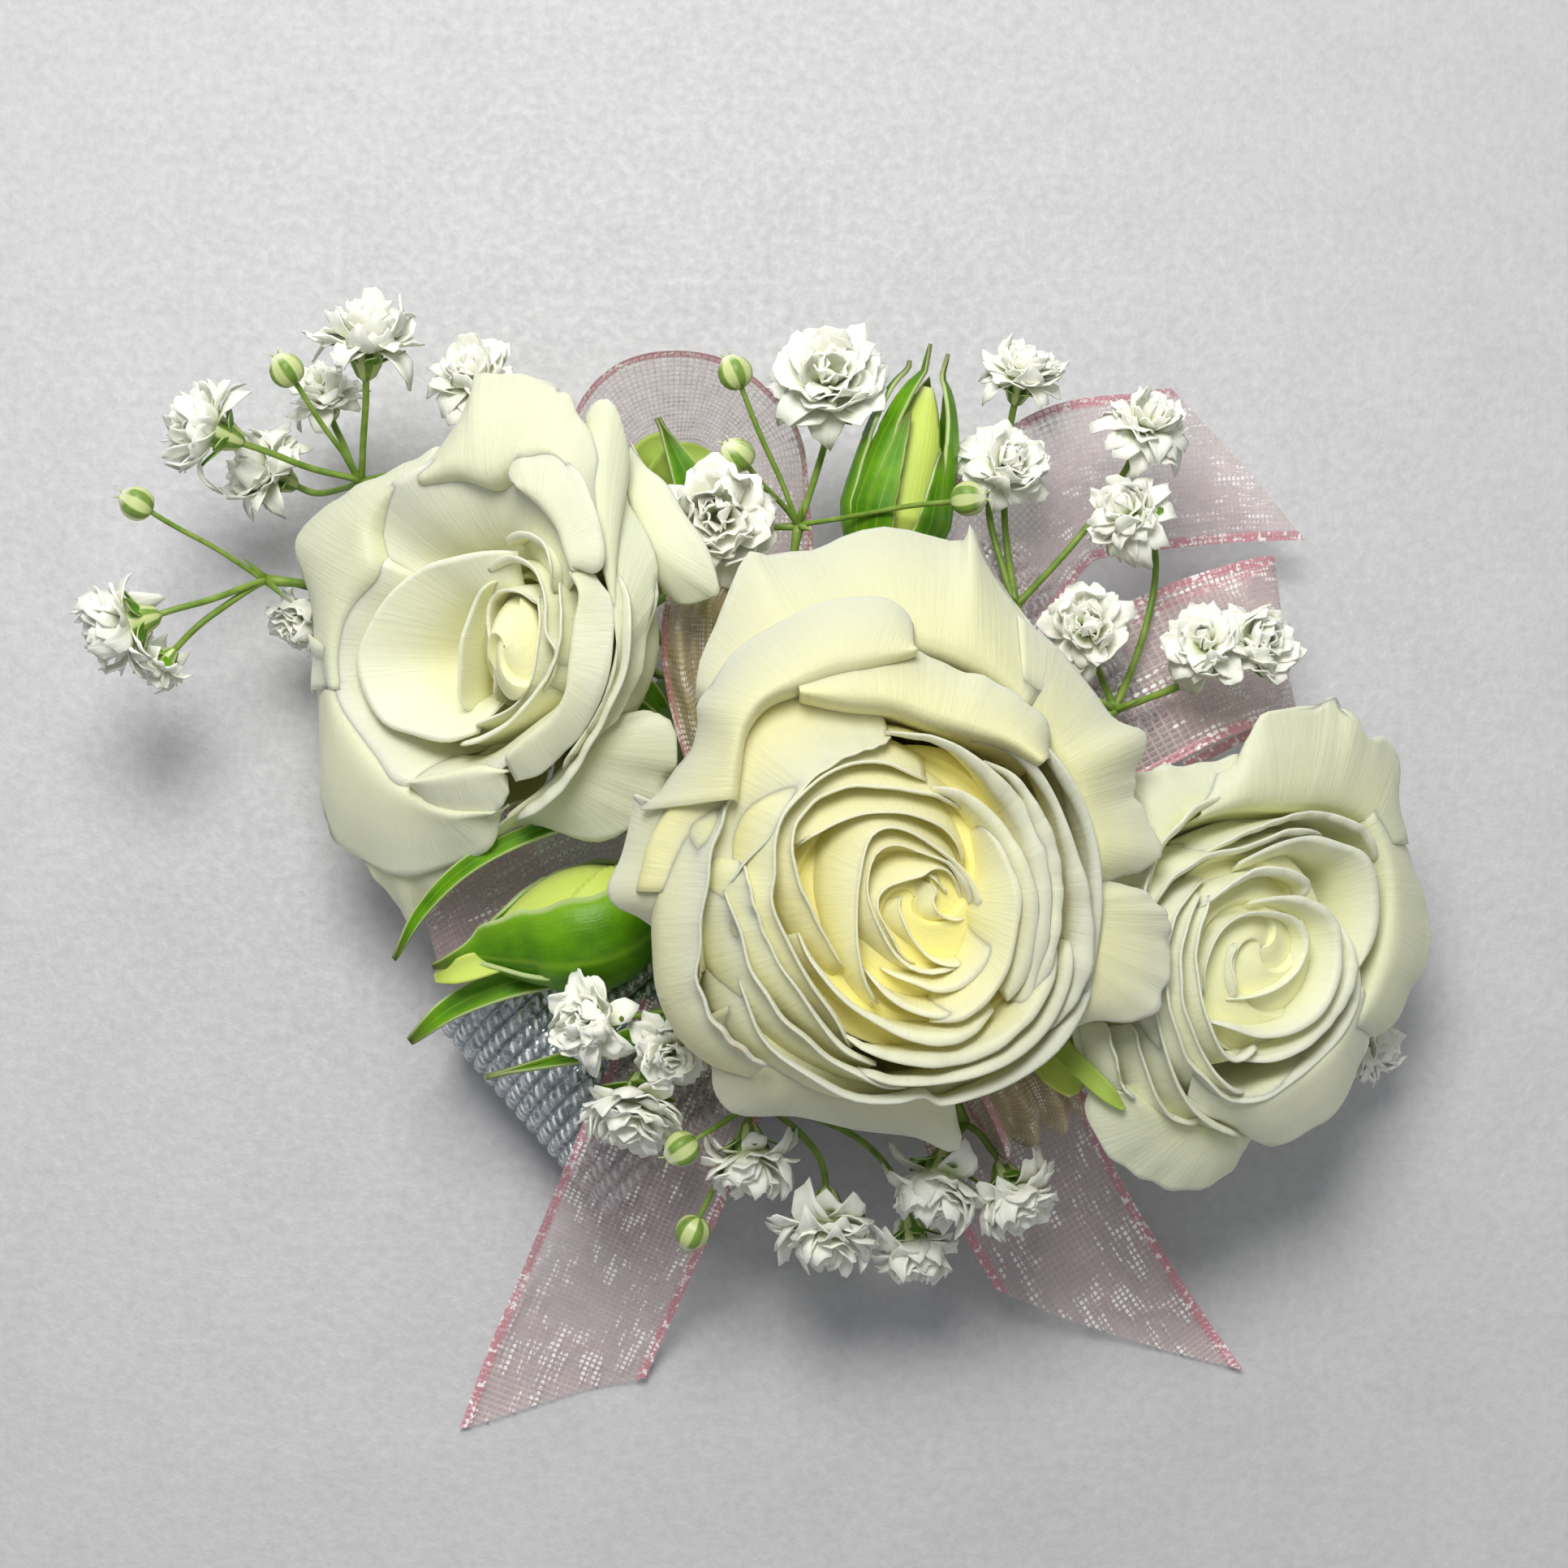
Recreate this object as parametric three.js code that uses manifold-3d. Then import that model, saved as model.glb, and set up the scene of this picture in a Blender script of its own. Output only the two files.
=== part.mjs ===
// Wrist corsage: three spray roses, rose buds, gypsophila sprays and sheer ribbon, bound to a
// stretch wristband. Millimetres, +Z up. The origin is the middle of the wristband's flat
// underside, and the band lies flat as it does on a table with the flowers on top.
import * as THREE from 'three';
import Module from 'manifold-3d';

const wasm = await Module();
wasm.setup();
const { Manifold, Mesh } = wasm;
const degree = Math.PI / 180;

// ---------------------------------------------------------------- driving dimensions
const clearance = 0.3; // air left between two pieces that rest on each other
const petalThickness = 0.7;
const ribbonThickness = 0.6;
const ribbonWidth = 16; // five-eighths inch organza

const band = {
  length: 75, // outside, end to end, of the flattened loop
  width: 25,
  height: 17,
  wall: 2.2,
  turn: 42, // direction of its length, degrees from +X
  ropes: 9, // raised cords side by side across the width
  ropeDepth: 0.6,
  bendSteps: 6,
};
const pad = { length: 40, width: 24, thickness: 1.5, turn: -28, centre: [3, 1], sides: 24 };
const padTop = band.height + clearance + pad.thickness;

const bundle = {
  radius: 2.6,
  path: [[-15.5, 15], [-6, 7], [5, -1.5], [15, -5.6], [26, -7.6]],
};
const bundleHeight = padTop + clearance + bundle.radius; // height of its middle line

// Each rose: where its hip starts, the way it faces, and its petals in two kinds. A whorl is a
// ring of cupped petals; a guard is one outer petal that opens or folds back.
const hip = { radius: 4.6, height: 5 };
const rootHeight = hip.height + clearance; // where petals leave the hip, along the bloom
const roses = {
  centre: {
    base: [6.3, -5.9, 24.8],
    face: [0.09, -0.13, 0.98],
    height: 23.5,
    belly: 12.5,
    stemEnd: [5.6, -3.6, 22.5],
    whorls: [
      { count: 4, start: 10, radius: 11.6, height: 23.4, rim: 0.92, width: 10.5 },
      { count: 4, start: 55, radius: 15.6, height: 21.6, rim: 0.98, width: 13.5 },
    ],
    guards: [
      { turn: 98, reach: 33, tip: 14, peak: 24, width: 15, fold: 7 },
      { turn: 66, reach: 31, tip: 13, peak: 22, width: 12, fold: 6 },
      { turn: 136, reach: 27, tip: 17, peak: 25, width: 11, fold: 6 },
      { turn: 32, reach: 27.5, tip: 14, peak: 20, width: 12, fold: 5 },
      { turn: -2, reach: 25, tip: 15.6, peak: 19, width: 8, fold: 0 },
      { turn: -78, reach: 22, tip: 8.5, peak: 20, width: 12, fold: 6 },
      { turn: -124, reach: 25, tip: 9, peak: 20, width: 11, fold: 6 },
      { turn: 177, reach: 26, tip: 9.5, peak: 22, width: 12, fold: 6 },
    ],
  },
  left: {
    base: [-20.6, 19.6, 20.2],
    face: [-0.498, -0.101, 0.862],
    height: 21.5,
    belly: 10,
    stemEnd: [-16.4, 16, 21],
    whorls: [
      { count: 4, start: 40, radius: 10.6, height: 20, rim: 1.04, width: 10 },
    ],
    guards: [
      { turn: 82, reach: 26, tip: 16, peak: 21, width: 10, fold: 5 },
      { turn: 122, reach: 23.5, tip: 16, peak: 21, width: 12, fold: 5 },
      { turn: 168, reach: 23, tip: 15, peak: 20, width: 13, fold: 5 },
      { turn: 218, reach: 27, tip: 13.5, peak: 20, width: 12, fold: 5 },
      { turn: 262, reach: 21.5, tip: 13, peak: 18, width: 12, fold: 5 },
      { turn: 316, reach: 22, tip: 10.5, peak: 14, width: 12, fold: 0 },
      { turn: 10, reach: 16.5, tip: 16, peak: 15, width: 12, fold: 0 },
      { turn: 42, reach: 18, tip: 17.5, peak: 15, width: 9, fold: 0 },
    ],
  },
  right: {
    base: [35.8, -9.4, 16.8],
    face: [0.498, -0.101, 0.862],
    height: 19,
    belly: 9.5,
    stemEnd: [27, -7.8, 20.6],
    whorls: [
      { count: 3, start: 30, radius: 9.2, height: 18.2, rim: 0.95, width: 9 },
      { count: 4, start: 115, radius: 12.4, height: 14.8, rim: 1.02, width: 11.5 },
    ],
    guards: [
      { turn: 70, reach: 25, tip: 13, peak: 18, width: 13, fold: 0 },
      { turn: 122, reach: 17.5, tip: 9, peak: 13, width: 9, fold: 0 },
      { turn: 20, reach: 20, tip: 12, peak: 15, width: 13, fold: 4 },
      { turn: 330, reach: 19, tip: 11.5, peak: 15, width: 13, fold: 4 },
      { turn: 240, reach: 23, tip: 8.5, peak: 14, width: 12, fold: 0 },
      { turn: 285, reach: 21, tip: 10.5, peak: 15, width: 11, fold: 4 },
    ],
  },
};

// Each bud: where its hip starts, the way it points and its size. Sepals turn away by `spread`.
const buds = {
  front: {
    base: [-11.6, -4.8, 23.6],
    face: [-0.955, -0.29, 0.02],
    length: 23.5,
    radius: 6,
    sepals: [
      { turn: 350, length: 27, spread: 5, width: 2.8 },
      { turn: 262, length: 23, spread: 0.4, width: 4 },
      { turn: 190, length: 27, spread: 3.4, width: 2.8 },
      { turn: 120, length: 20, spread: 0.4, width: 3.2 },
      { turn: 55, length: 20, spread: 0.4, width: 3.2 },
    ],
    stemEnd: [-1.5, 1.5, 22],
  },
  back: {
    base: [7, 26.5, 22.5],
    face: [0.24, 0.95, 0.2],
    length: 20,
    radius: 4.6,
    sepals: [
      { turn: 20, length: 20, spread: 1.2, width: 2.5 },
      { turn: 95, length: 19, spread: 0.4, width: 2.5 },
      { turn: 165, length: 20, spread: 2.2, width: 2.3 },
      { turn: 240, length: 18, spread: 0.4, width: 2.5 },
      { turn: 310, length: 18, spread: 0.4, width: 2.5 },
    ],
    stemEnd: [4.5, 3, 21.9],
  },
  small: {
    base: [22.6, -15.2, 21.5],
    face: [0.5, -0.8, 0.2],
    length: 8,
    radius: 2.2,
    sepals: [
      { turn: 30, length: 8.5, spread: 0.6, width: 1.5 },
      { turn: 150, length: 8, spread: 0.4, width: 1.5 },
      { turn: 270, length: 7.5, spread: 0.4, width: 1.5 },
    ],
    stemEnd: [19.5, -8.8, 22],
  },
};

// Narrow leaves: points from root to tip, and half the width.
const leaves = {
  leaf_front: {
    path: [[1.5, -0.6, 20.2], [-7, -12.4, 19.5], [-16, -17.6, 20], [-30.5, -21.6, 21.4]],
    half: 1.5,
  },
  leaf_back: {
    path: [[-7, 11.5, 22], [-8.5, 26, 21], [-11, 34, 26], [-14.5, 41, 27]],
    half: 2.4,
  },
};

// Sprays: `root` runs from the bundle to the fork, then one stalk goes to each head and bud.
const floret = { radius: 5.2, height: 6.4, petals: 5, calyx: 1.25 };
const stemRadius = 0.5;
const stalkRadius = 0.4;
const budRadius = 1.5;
const sprays = {
  spray_left_low: {
    root: [[-13, 16.5, 20.6], [-26, 24, 16.2], [-40, 26.5, 15.6], [-53, 27.3, 18]],
    heads: [
      { at: [-65.8, 21.4, 24], face: [-0.95, -0.25, 0.2], size: 1 },
      { at: [-62.6, 18.4, 20], face: [-0.6, -0.6, -0.3], size: 0.6 },
      { at: [-50.4, 24.4, 13.4], face: [-0.5, -0.6, 0.3], size: 0.75 },
    ],
    buds: [[-64.7, 33.4, 24]],
  },
  spray_left_high: {
    root: [[-12, 17.5, 20.8], [-22, 31, 17], [-33, 35, 16.6], [-44, 37.3, 18]],
    heads: [
      { at: [-42.7, 49.2, 26], face: [0.1, 0.6, 0.8], size: 1.05 },
      { at: [-58.2, 41, 24], face: [-0.85, 0.1, 0.5], size: 1 },
      { at: [-53.6, 39, 15.4], face: [-0.6, 0.2, 0.75], size: 0.95 },
      { at: [-48, 46.4, 16.6], face: [-0.2, 0.6, 0.7], size: 0.8 },
      { at: [-33, 47.6, 18], face: [-0.1, 0.6, 0.8], size: 0.95 },
    ],
    buds: [[-50.5, 46.4, 25]],
  },
  spray_back_left: {
    root: [[-3, 8, 22.6], [-3, 19, 22.6], [-1, 31, 25]],
    heads: [
      { at: [2, 44.4, 27], face: [0, 0.25, 0.97], size: 1.15 },
      { at: [-8.5, 29.6, 33], face: [-0.05, -0.1, 1], size: 1.12 },
    ],
    buds: [[-7.1, 44.6, 30], [-6.8, 35.7, 33], [14.8, 31.5, 33]],
  },
  spray_back_right: {
    root: [[6, 1.5, 21.8], [14, 12, 20.4], [20, 24, 21]],
    heads: [
      { at: [20.7, 46.2, 24], face: [0.2, 0.75, 0.6], size: 0.85 },
      { at: [19, 36.6, 26], face: [0.3, 0.2, 0.93], size: 0.9 },
      { at: [32.4, 40.4, 26], face: [0.3, 0.6, 0.75], size: 0.92 },
    ],
    buds: [],
  },
  spray_right: {
    root: [[15, -3.5, 21.8], [22, 5, 24], [29, 13, 24.6]],
    heads: [
      { at: [30.6, 31.5, 27], face: [-0.5, 0.25, 0.8], size: 0.88 },
      { at: [26.4, 20.4, 27], face: [-0.1, 0, 1], size: 0.9 },
      { at: [37.6, 18.6, 27.4], face: [-0.2, 0.2, 0.93], size: 0.9 },
      { at: [42.4, 18.8, 27], face: [0.5, 0.2, 0.8], size: 0.85 },
    ],
    buds: [],
  },
  spray_right_low: {
    root: [[24, -10.5, 20.4], [34, -16, 12], [46, -17.5, 7]],
    heads: [{ at: [55, -17.4, 8.5], face: [0.95, -0.1, 0.3], size: 0.8 }],
    buds: [],
  },
  spray_front_left: {
    root: [[1.5, 0, 22.4], [-3.4, -7.6, 22.4], [-12.5, -15.6, 24]],
    heads: [
      { at: [-20.2, -17.2, 28.6], face: [-0.6, -0.2, 0.8], size: 0.9 },
      { at: [-12.8, -19.6, 27.2], face: [0, -0.5, 0.87], size: 0.78 },
      { at: [-16.4, -24.8, 23.6], face: [-0.15, -0.75, 0.62], size: 1.05 },
    ],
    buds: [],
  },
  spray_front: {
    root: [[3.5, -5.5, 20.8], [-1, -16, 20.4], [-5, -24, 23.5]],
    heads: [
      { at: [-5.4, -29.4, 23.4], face: [0.1, -0.8, 0.6], size: 0.9 },
      { at: [1.6, -35.6, 20], face: [0, -0.75, 0.65], size: 1 },
      { at: [10, -37.4, 15.6], face: [0.1, -0.8, 0.6], size: 0.88 },
    ],
    buds: [[-11.8, -28.6, 25.6], [-11, -36, 20]],
  },
  spray_front_right: {
    root: [[10.5, -7, 21.8], [12, -18, 21.6], [14.5, -26, 23]],
    heads: [
      { at: [12, -31.6, 23], face: [-0.3, -0.7, 0.65], size: 1 },
      { at: [19, -32.6, 22], face: [0.4, -0.75, 0.55], size: 0.9 },
    ],
    buds: [],
  },
};

// Ribbon pieces: points along the middle, each with the direction across; `short` is how far
// each edge stops before the middle line's end, where the end is cut slantwise.
const ribbons = {
  tail_front_left: {
    points: [
      [-9, -17, 17.9], [-12, -23, 17.8], [-15, -30, 17.6], [-17.8, -35.6, 11], [-21, -42, 4],
      [-24.2, -49, 1], [-27.2, -57.2, 0.8],
    ],
    across: [
      [1, -0.25, 0], [1, -0.35, 0], [1, -0.4, 0], [1, -0.4, 0.02], [1, -0.4, 0.02], [1, -0.4, 0],
      [1, -0.4, 0],
    ],
    width: 15.4,
    short: [0, 11.3],
    steps: 12,
  },
  tail_front_right: {
    points: [
      [8.8, -13, 19.6], [12.8, -17, 19.4], [17, -21.4, 17.8], [19.6, -27.8, 15.2],
      [23.4, -34.5, 10], [28.4, -41.8, 4], [32.6, -47.8, 1.2], [36.4, -53.3, 0.9],
    ],
    across: [
      [1, 0.35, 0], [1, 0.4, 0], [1, 0.45, 0], [1, 0.5, 0], [1, 0.58, 0], [1, 0.64, 0],
      [1, 0.66, 0], [1, 0.68, 0],
    ],
    width: ribbonWidth,
    short: [21, 0],
    steps: 12,
  },
  tail_back_right: {
    points: [
      [13.6, 19.6, 18], [18.4, 29.8, 18], [25, 37, 16], [33, 39.6, 12.6], [42, 41.4, 9.6],
      [50.2, 42, 8.4],
    ],
    across: [
      [-0.8, 0.6, 0.05], [-0.5, 0.85, 0.15], [-0.15, 0.95, 0.25], [0.05, 0.95, 0.3],
      [0.2, 0.95, 0.2], [0.25, 0.95, 0.15],
    ],
    width: ribbonWidth,
    short: [0, 15],
    steps: 12,
  },
  loop_right: {
    points: [
      [18, 9, 18.4], [27, 13.5, 19.4], [37, 18.6, 20], [43.6, 21, 18.8], [46.6, 22, 16.4],
      [44.6, 21.4, 14], [39, 19, 14.4], [33, 15.6, 17.4],
    ],
    across: [
      [-0.35, 0.94, 0], [-0.3, 0.95, 0], [-0.2, 0.98, 0], [-0.1, 1, 0], [-0.08, 1, 0], [-0.1, 1, 0],
      [-0.2, 0.98, 0], [-0.3, 0.95, 0],
    ],
    width: ribbonWidth,
    short: [0, 0],
    steps: 18,
  },
  loop_back: {
    points: [
      [-8, 19, 17.6], [-16, 30, 17.4], [-20.6, 39, 17], [-17, 44.4, 17.4], [-10, 45.4, 16.6],
      [-5, 41, 15.4], [-5.2, 34, 14], [-6.6, 26, 14],
    ],
    across: [
      [0.9, 0.35, 0.2], [0.8, -0.3, 0.6], [-0.35, 0.2, 0.9], [-0.3, 0.5, 0.85], [0.1, 0.5, 0.85],
      [0.5, 0.3, 0.8], [0.8, 0, 0.5], [1, 0, 0.1],
    ],
    width: 13,
    short: [0, 0],
    steps: 18,
  },
  loop_left: {
    points: [
      [-12.5, 3, 19.7], [-20, 2.2, 18.8], [-28, -0.8, 16.8], [-35.4, -4, 14.6], [-37.6, -5, 12],
      [-34, -4, 9.6], [-26, 0, 10],
    ],
    across: [
      [0.2, -1, 0], [0.25, -1, 0], [0.28, -1, 0], [0.3, -1, 0], [0.3, -1, 0], [0.3, -1, 0],
      [0.3, -1, 0],
    ],
    width: 12,
    short: [0, 0],
    steps: 16,
  },
  loop_mid: {
    points: [
      [-7.4, 7.6, 25.2], [-9, 12.5, 28.4], [-9.8, 17.5, 31], [-9.4, 22, 31.4], [-8, 24.6, 28.8],
      [-7.2, 24, 25.4],
    ],
    across: [[1, 0.2, -0.1], [1, 0.1, -0.12], [1, 0, -0.12], [1, 0, -0.1], [1, 0, 0], [1, 0, 0.1]],
    width: 8,
    short: [0, 0],
    steps: 12,
  },
  loop_front: {
    points: [
      [15.6, -14.6, 24.6], [18, -19, 26.4], [20.6, -23.6, 27], [22, -26.8, 24.4], [21, -26.4, 21.6],
      [18.6, -21.5, 19.8],
    ],
    across: [
      [0.9, 0.45, 0], [0.9, 0.45, 0], [0.9, 0.4, 0], [0.9, 0.4, 0], [0.9, 0.4, 0], [0.9, 0.45, 0],
    ],
    width: 9,
    short: [0, 0],
    steps: 12,
  },
};

const colours = {
  silver: { color: 0xb9c1c8, roughness: 0.35, metalness: 0.6 },
  pad: { color: 0xd8c4c4, roughness: 0.9, metalness: 0 },
  tape: { color: 0x4f7a34, roughness: 0.7, metalness: 0 },
  cream: { color: 0xf4f2d8, roughness: 0.6, metalness: 0 },
  warmCream: { color: 0xf7eebb, roughness: 0.6, metalness: 0 },
  green: { color: 0x4f8a26, roughness: 0.5, metalness: 0 },
  paleGreen: { color: 0xc9dd86, roughness: 0.55, metalness: 0 },
  white: { color: 0xeef1ea, roughness: 0.7, metalness: 0 },
  pink: { color: 0xc792a0, roughness: 0.4, metalness: 0 },
};

// ---------------------------------------------------------------- shape helpers
const vector = (p) => new THREE.Vector3(p[0], p[1], p[2]);

// A closed body from points and triangles, turned to face outwards.
function bodyFrom(points, faces) {
  let volume = 0;
  for (const [a, b, c] of faces) {
    volume += points[a].dot(points[b].clone().cross(points[c]));
  }
  const order = volume < 0 ? faces.map(([a, b, c]) => [a, c, b]) : faces;
  const mesh = new Mesh({
    numProp: 3,
    vertProperties: new Float32Array(points.flatMap((p) => [p.x, p.y, p.z])),
    triVerts: new Uint32Array(order.flat()),
  });
  mesh.merge();
  return new Manifold(mesh);
}

// The union of bodies that touch, with closed pockets filled and loose crumbs dropped. Slivers
// along the seams, under a tenth of a millimetre, are merged away.
const seamTolerance = 0.1;
function fuse(bodies) {
  const pieces = Manifold.union(bodies).simplify(seamTolerance).decompose();
  pieces.sort((a, b) => b.volume() - a.volume());
  return pieces[0];
}

// A blade: the surface point(s, t) for s in -1..1 across and t in 0..1 along, given thickness.
function blade(point, acrossSteps, alongSteps, thickness) {
  const columns = acrossSteps + 1;
  const middle = [];
  for (let j = 0; j <= alongSteps; j += 1) {
    for (let i = 0; i <= acrossSteps; i += 1) {
      middle.push(point((2 * i) / acrossSteps - 1, j / alongSteps));
    }
  }
  const at = (i, j) => {
    const column = Math.min(Math.max(i, 0), acrossSteps);
    const row = Math.min(Math.max(j, 0), alongSteps);
    return middle[row * columns + column];
  };
  const upper = [];
  const lower = [];
  for (let j = 0; j <= alongSteps; j += 1) {
    for (let i = 0; i <= acrossSteps; i += 1) {
      const alongS = at(i + 1, j).clone().sub(at(i - 1, j));
      const alongT = at(i, j + 1).clone().sub(at(i, j - 1));
      const normal = alongS.cross(alongT).normalize().multiplyScalar(thickness / 2);
      upper.push(at(i, j).clone().add(normal));
      lower.push(at(i, j).clone().sub(normal));
    }
  }
  const faces = [];
  const under = upper.length;
  const quad = (a, b, c, d) => faces.push([a, b, c], [a, c, d]);
  for (let j = 0; j < alongSteps; j += 1) {
    for (let i = 0; i < acrossSteps; i += 1) {
      const a = j * columns + i;
      quad(a, a + 1, a + columns + 1, a + columns);
      const [p, q, r, u] = [a, a + 1, a + columns + 1, a + columns].map((k) => k + under);
      faces.push([p, r, q], [p, u, r]);
    }
  }
  for (let i = 0; i < acrossSteps; i += 1) {
    const last = alongSteps * columns + i;
    quad(i + 1, i, i + under, i + 1 + under);
    quad(last, last + 1, last + 1 + under, last + under);
  }
  for (let j = 0; j < alongSteps; j += 1) {
    const left = j * columns;
    const right = left + acrossSteps;
    quad(left, left + columns, left + columns + under, left + under);
    quad(right + columns, right, right + under, right + columns + under);
  }
  return bodyFrom([...upper, ...lower], faces);
}

// A closed tube along a path, with a radius for each point.
function tube(path, radii, sides) {
  const points = [];
  const faces = [];
  const tangents = path.map((p, k) => {
    const next = path[Math.min(k + 1, path.length - 1)];
    const last = path[Math.max(k - 1, 0)];
    return next.clone().sub(last).normalize();
  });
  let side = new THREE.Vector3(0, 0, 1);
  if (Math.abs(tangents[0].z) > 0.9) side = new THREE.Vector3(1, 0, 0);
  path.forEach((centre, k) => {
    side = side.clone().addScaledVector(tangents[k], -side.dot(tangents[k])).normalize();
    const other = tangents[k].clone().cross(side);
    for (let i = 0; i < sides; i += 1) {
      const angle = ((i + 0.5) * 2 * Math.PI) / sides;
      points.push(centre.clone()
        .addScaledVector(side, radii[k] * Math.cos(angle))
        .addScaledVector(other, radii[k] * Math.sin(angle)));
    }
  });
  for (let k = 0; k + 1 < path.length; k += 1) {
    for (let i = 0; i < sides; i += 1) {
      const a = k * sides + i;
      const b = k * sides + ((i + 1) % sides);
      faces.push([a, b, b + sides], [a, b + sides, a + sides]);
    }
  }
  const start = points.push(path[0].clone()) - 1;
  const end = points.push(path[path.length - 1].clone()) - 1;
  for (let i = 0; i < sides; i += 1) {
    const next = (i + 1) % sides;
    const top = (path.length - 1) * sides;
    faces.push([start, next, i], [end, top + i, top + next]);
  }
  return bodyFrom(points, faces);
}

// A closed body turned about +Z: rings of [radius, height], with a shape(angle, ring) factor.
function turned(rings, sides, shape = () => 1) {
  const points = [];
  const faces = [];
  rings.forEach(([radius, height], k) => {
    for (let i = 0; i < sides; i += 1) {
      const angle = (i * 2 * Math.PI) / sides;
      const r = radius * shape(angle, k);
      points.push(new THREE.Vector3(r * Math.cos(angle), r * Math.sin(angle), height));
    }
  });
  for (let k = 0; k + 1 < rings.length; k += 1) {
    for (let i = 0; i < sides; i += 1) {
      const a = k * sides + i;
      const b = k * sides + ((i + 1) % sides);
      faces.push([a, b, b + sides], [a, b + sides, a + sides]);
    }
  }
  const bottom = points.push(new THREE.Vector3(0, 0, rings[0][1])) - 1;
  const top = points.push(new THREE.Vector3(0, 0, rings[rings.length - 1][1])) - 1;
  const lastRing = (rings.length - 1) * sides;
  for (let i = 0; i < sides; i += 1) {
    const next = (i + 1) % sides;
    faces.push([bottom, next, i], [top, lastRing + i, lastRing + next]);
  }
  return bodyFrom(points, faces);
}

// A smooth run of points through the given ones.
function smoothPath(points, steps) {
  return new THREE.CatmullRomCurve3(points.map(vector), false, 'centripetal').getPoints(steps);
}

// The matrix that stands a body built along +Z at a base, facing a direction. Turn 0 is the
// side of the bloom nearest to world +X.
function stand(base, face) {
  const up = vector(face).normalize();
  const hint = Math.abs(up.x) > 0.8 ? new THREE.Vector3(0, 1, 0) : new THREE.Vector3(1, 0, 0);
  const across = hint.addScaledVector(up, -hint.dot(up)).normalize();
  const third = up.clone().cross(across);
  return new THREE.Matrix4().makeBasis(across, third, up).setPosition(vector(base));
}

const placed = (body, matrix) => body.transform(matrix.toArray());

// ---------------------------------------------------------------- roses
// A petal's middle line is a Bezier curve of (distance from the axis, height); across it the
// petal is an arc about the axis, twisted a little so that one edge tucks inside the next.
function petalSurface(petal) {
  const { curve, turn, width, tuck, rounding, fold } = petal;
  const [cos, sin] = [Math.cos(turn * degree), Math.sin(turn * degree)];
  const bezier = (t, k) => (1 - t) ** 3 * curve[0][k] + 3 * t * (1 - t) ** 2 * curve[1][k]
    + 3 * t * t * (1 - t) * curve[2][k] + t ** 3 * curve[3][k];
  const foldStart = 0.62; // share of the length and width where a guard petal's corners fold
  return (s, t) => {
    const along = t * (1 - rounding * Math.abs(s) ** 2.6);
    const distance = bezier(along, 0);
    const height = bezier(along, 1);
    const half = width * (0.42 + 0.58 * Math.sin(Math.min(1, along * 1.35) * 90 * degree));
    const arcRadius = Math.max(distance, 4) * 1.12;
    const angle = Math.min((s * half) / arcRadius, 1.6);
    const past = Math.max(0, along + Math.abs(s) * 0.75 - 2 * foldStart);
    const drop = fold * past * past * 2;
    const radial = distance - arcRadius + arcRadius * Math.cos(angle) + tuck * s;
    const sideways = arcRadius * Math.sin(angle);
    return new THREE.Vector3(
      radial * cos - sideways * sin,
      radial * sin + sideways * cos,
      height - drop,
    );
  };
}

function whorlPetals(rose) {
  return rose.whorls.flatMap((whorl) => Array.from({ length: whorl.count }, (_, k) => {
    const curve = [
      [2.5, rootHeight + 1],
      [whorl.radius * 1.2, rootHeight + 1],
      [whorl.radius * 1.12, whorl.height * 0.75],
      [whorl.radius * whorl.rim, whorl.height],
    ];
    const turn = whorl.start + (360 / whorl.count) * k;
    const petal = { curve, turn, width: whorl.width, tuck: 1.3, rounding: 0.16, fold: 0 };
    return blade(petalSurface(petal), 3, 2, petalThickness);
  }));
}

function guardPetals(rose) {
  return rose.guards.map((guard, k) => {
    const shingle = 1.2 * (k % 2); // every other guard lies outside its neighbours
    const curve = [
      [3, rootHeight + 1],
      [guard.reach * 0.55 + 3 + shingle, rootHeight + 1],
      [guard.reach * 0.5 + 3 + shingle, guard.peak],
      [guard.reach, guard.tip],
    ];
    const petal = { ...guard, curve, tuck: 0.8, rounding: 0.1 };
    return blade(petalSurface(petal), 3, 3, petalThickness);
  });
}

// The heart of the bloom, where all petals join: a short cone that carries the furled inner
// petals as three soft lobes round a hollow top.
function roseHeart(rose) {
  const { belly, height } = rose;
  const rings = [
    [3.4, rootHeight],
    [belly * 0.85, rootHeight + 3],
    [belly, rootHeight + 6.5],
    [belly * 0.6, rootHeight + 9],
    [belly * 0.5, height * 0.8],
    [belly * 0.42, height * 0.96],
    [belly * 0.2, height * 0.9],
  ];
  const lobed = (angle, ring) => (ring > 3 ? 1 + 0.12 * Math.cos(3 * angle + ring * 0.7) : 1);
  return turned(rings, 12, lobed);
}

function rosePetals(rose) {
  const body = fuse([roseHeart(rose), ...whorlPetals(rose), ...guardPetals(rose)]);
  return placed(body, stand(rose.base, rose.face));
}

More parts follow.
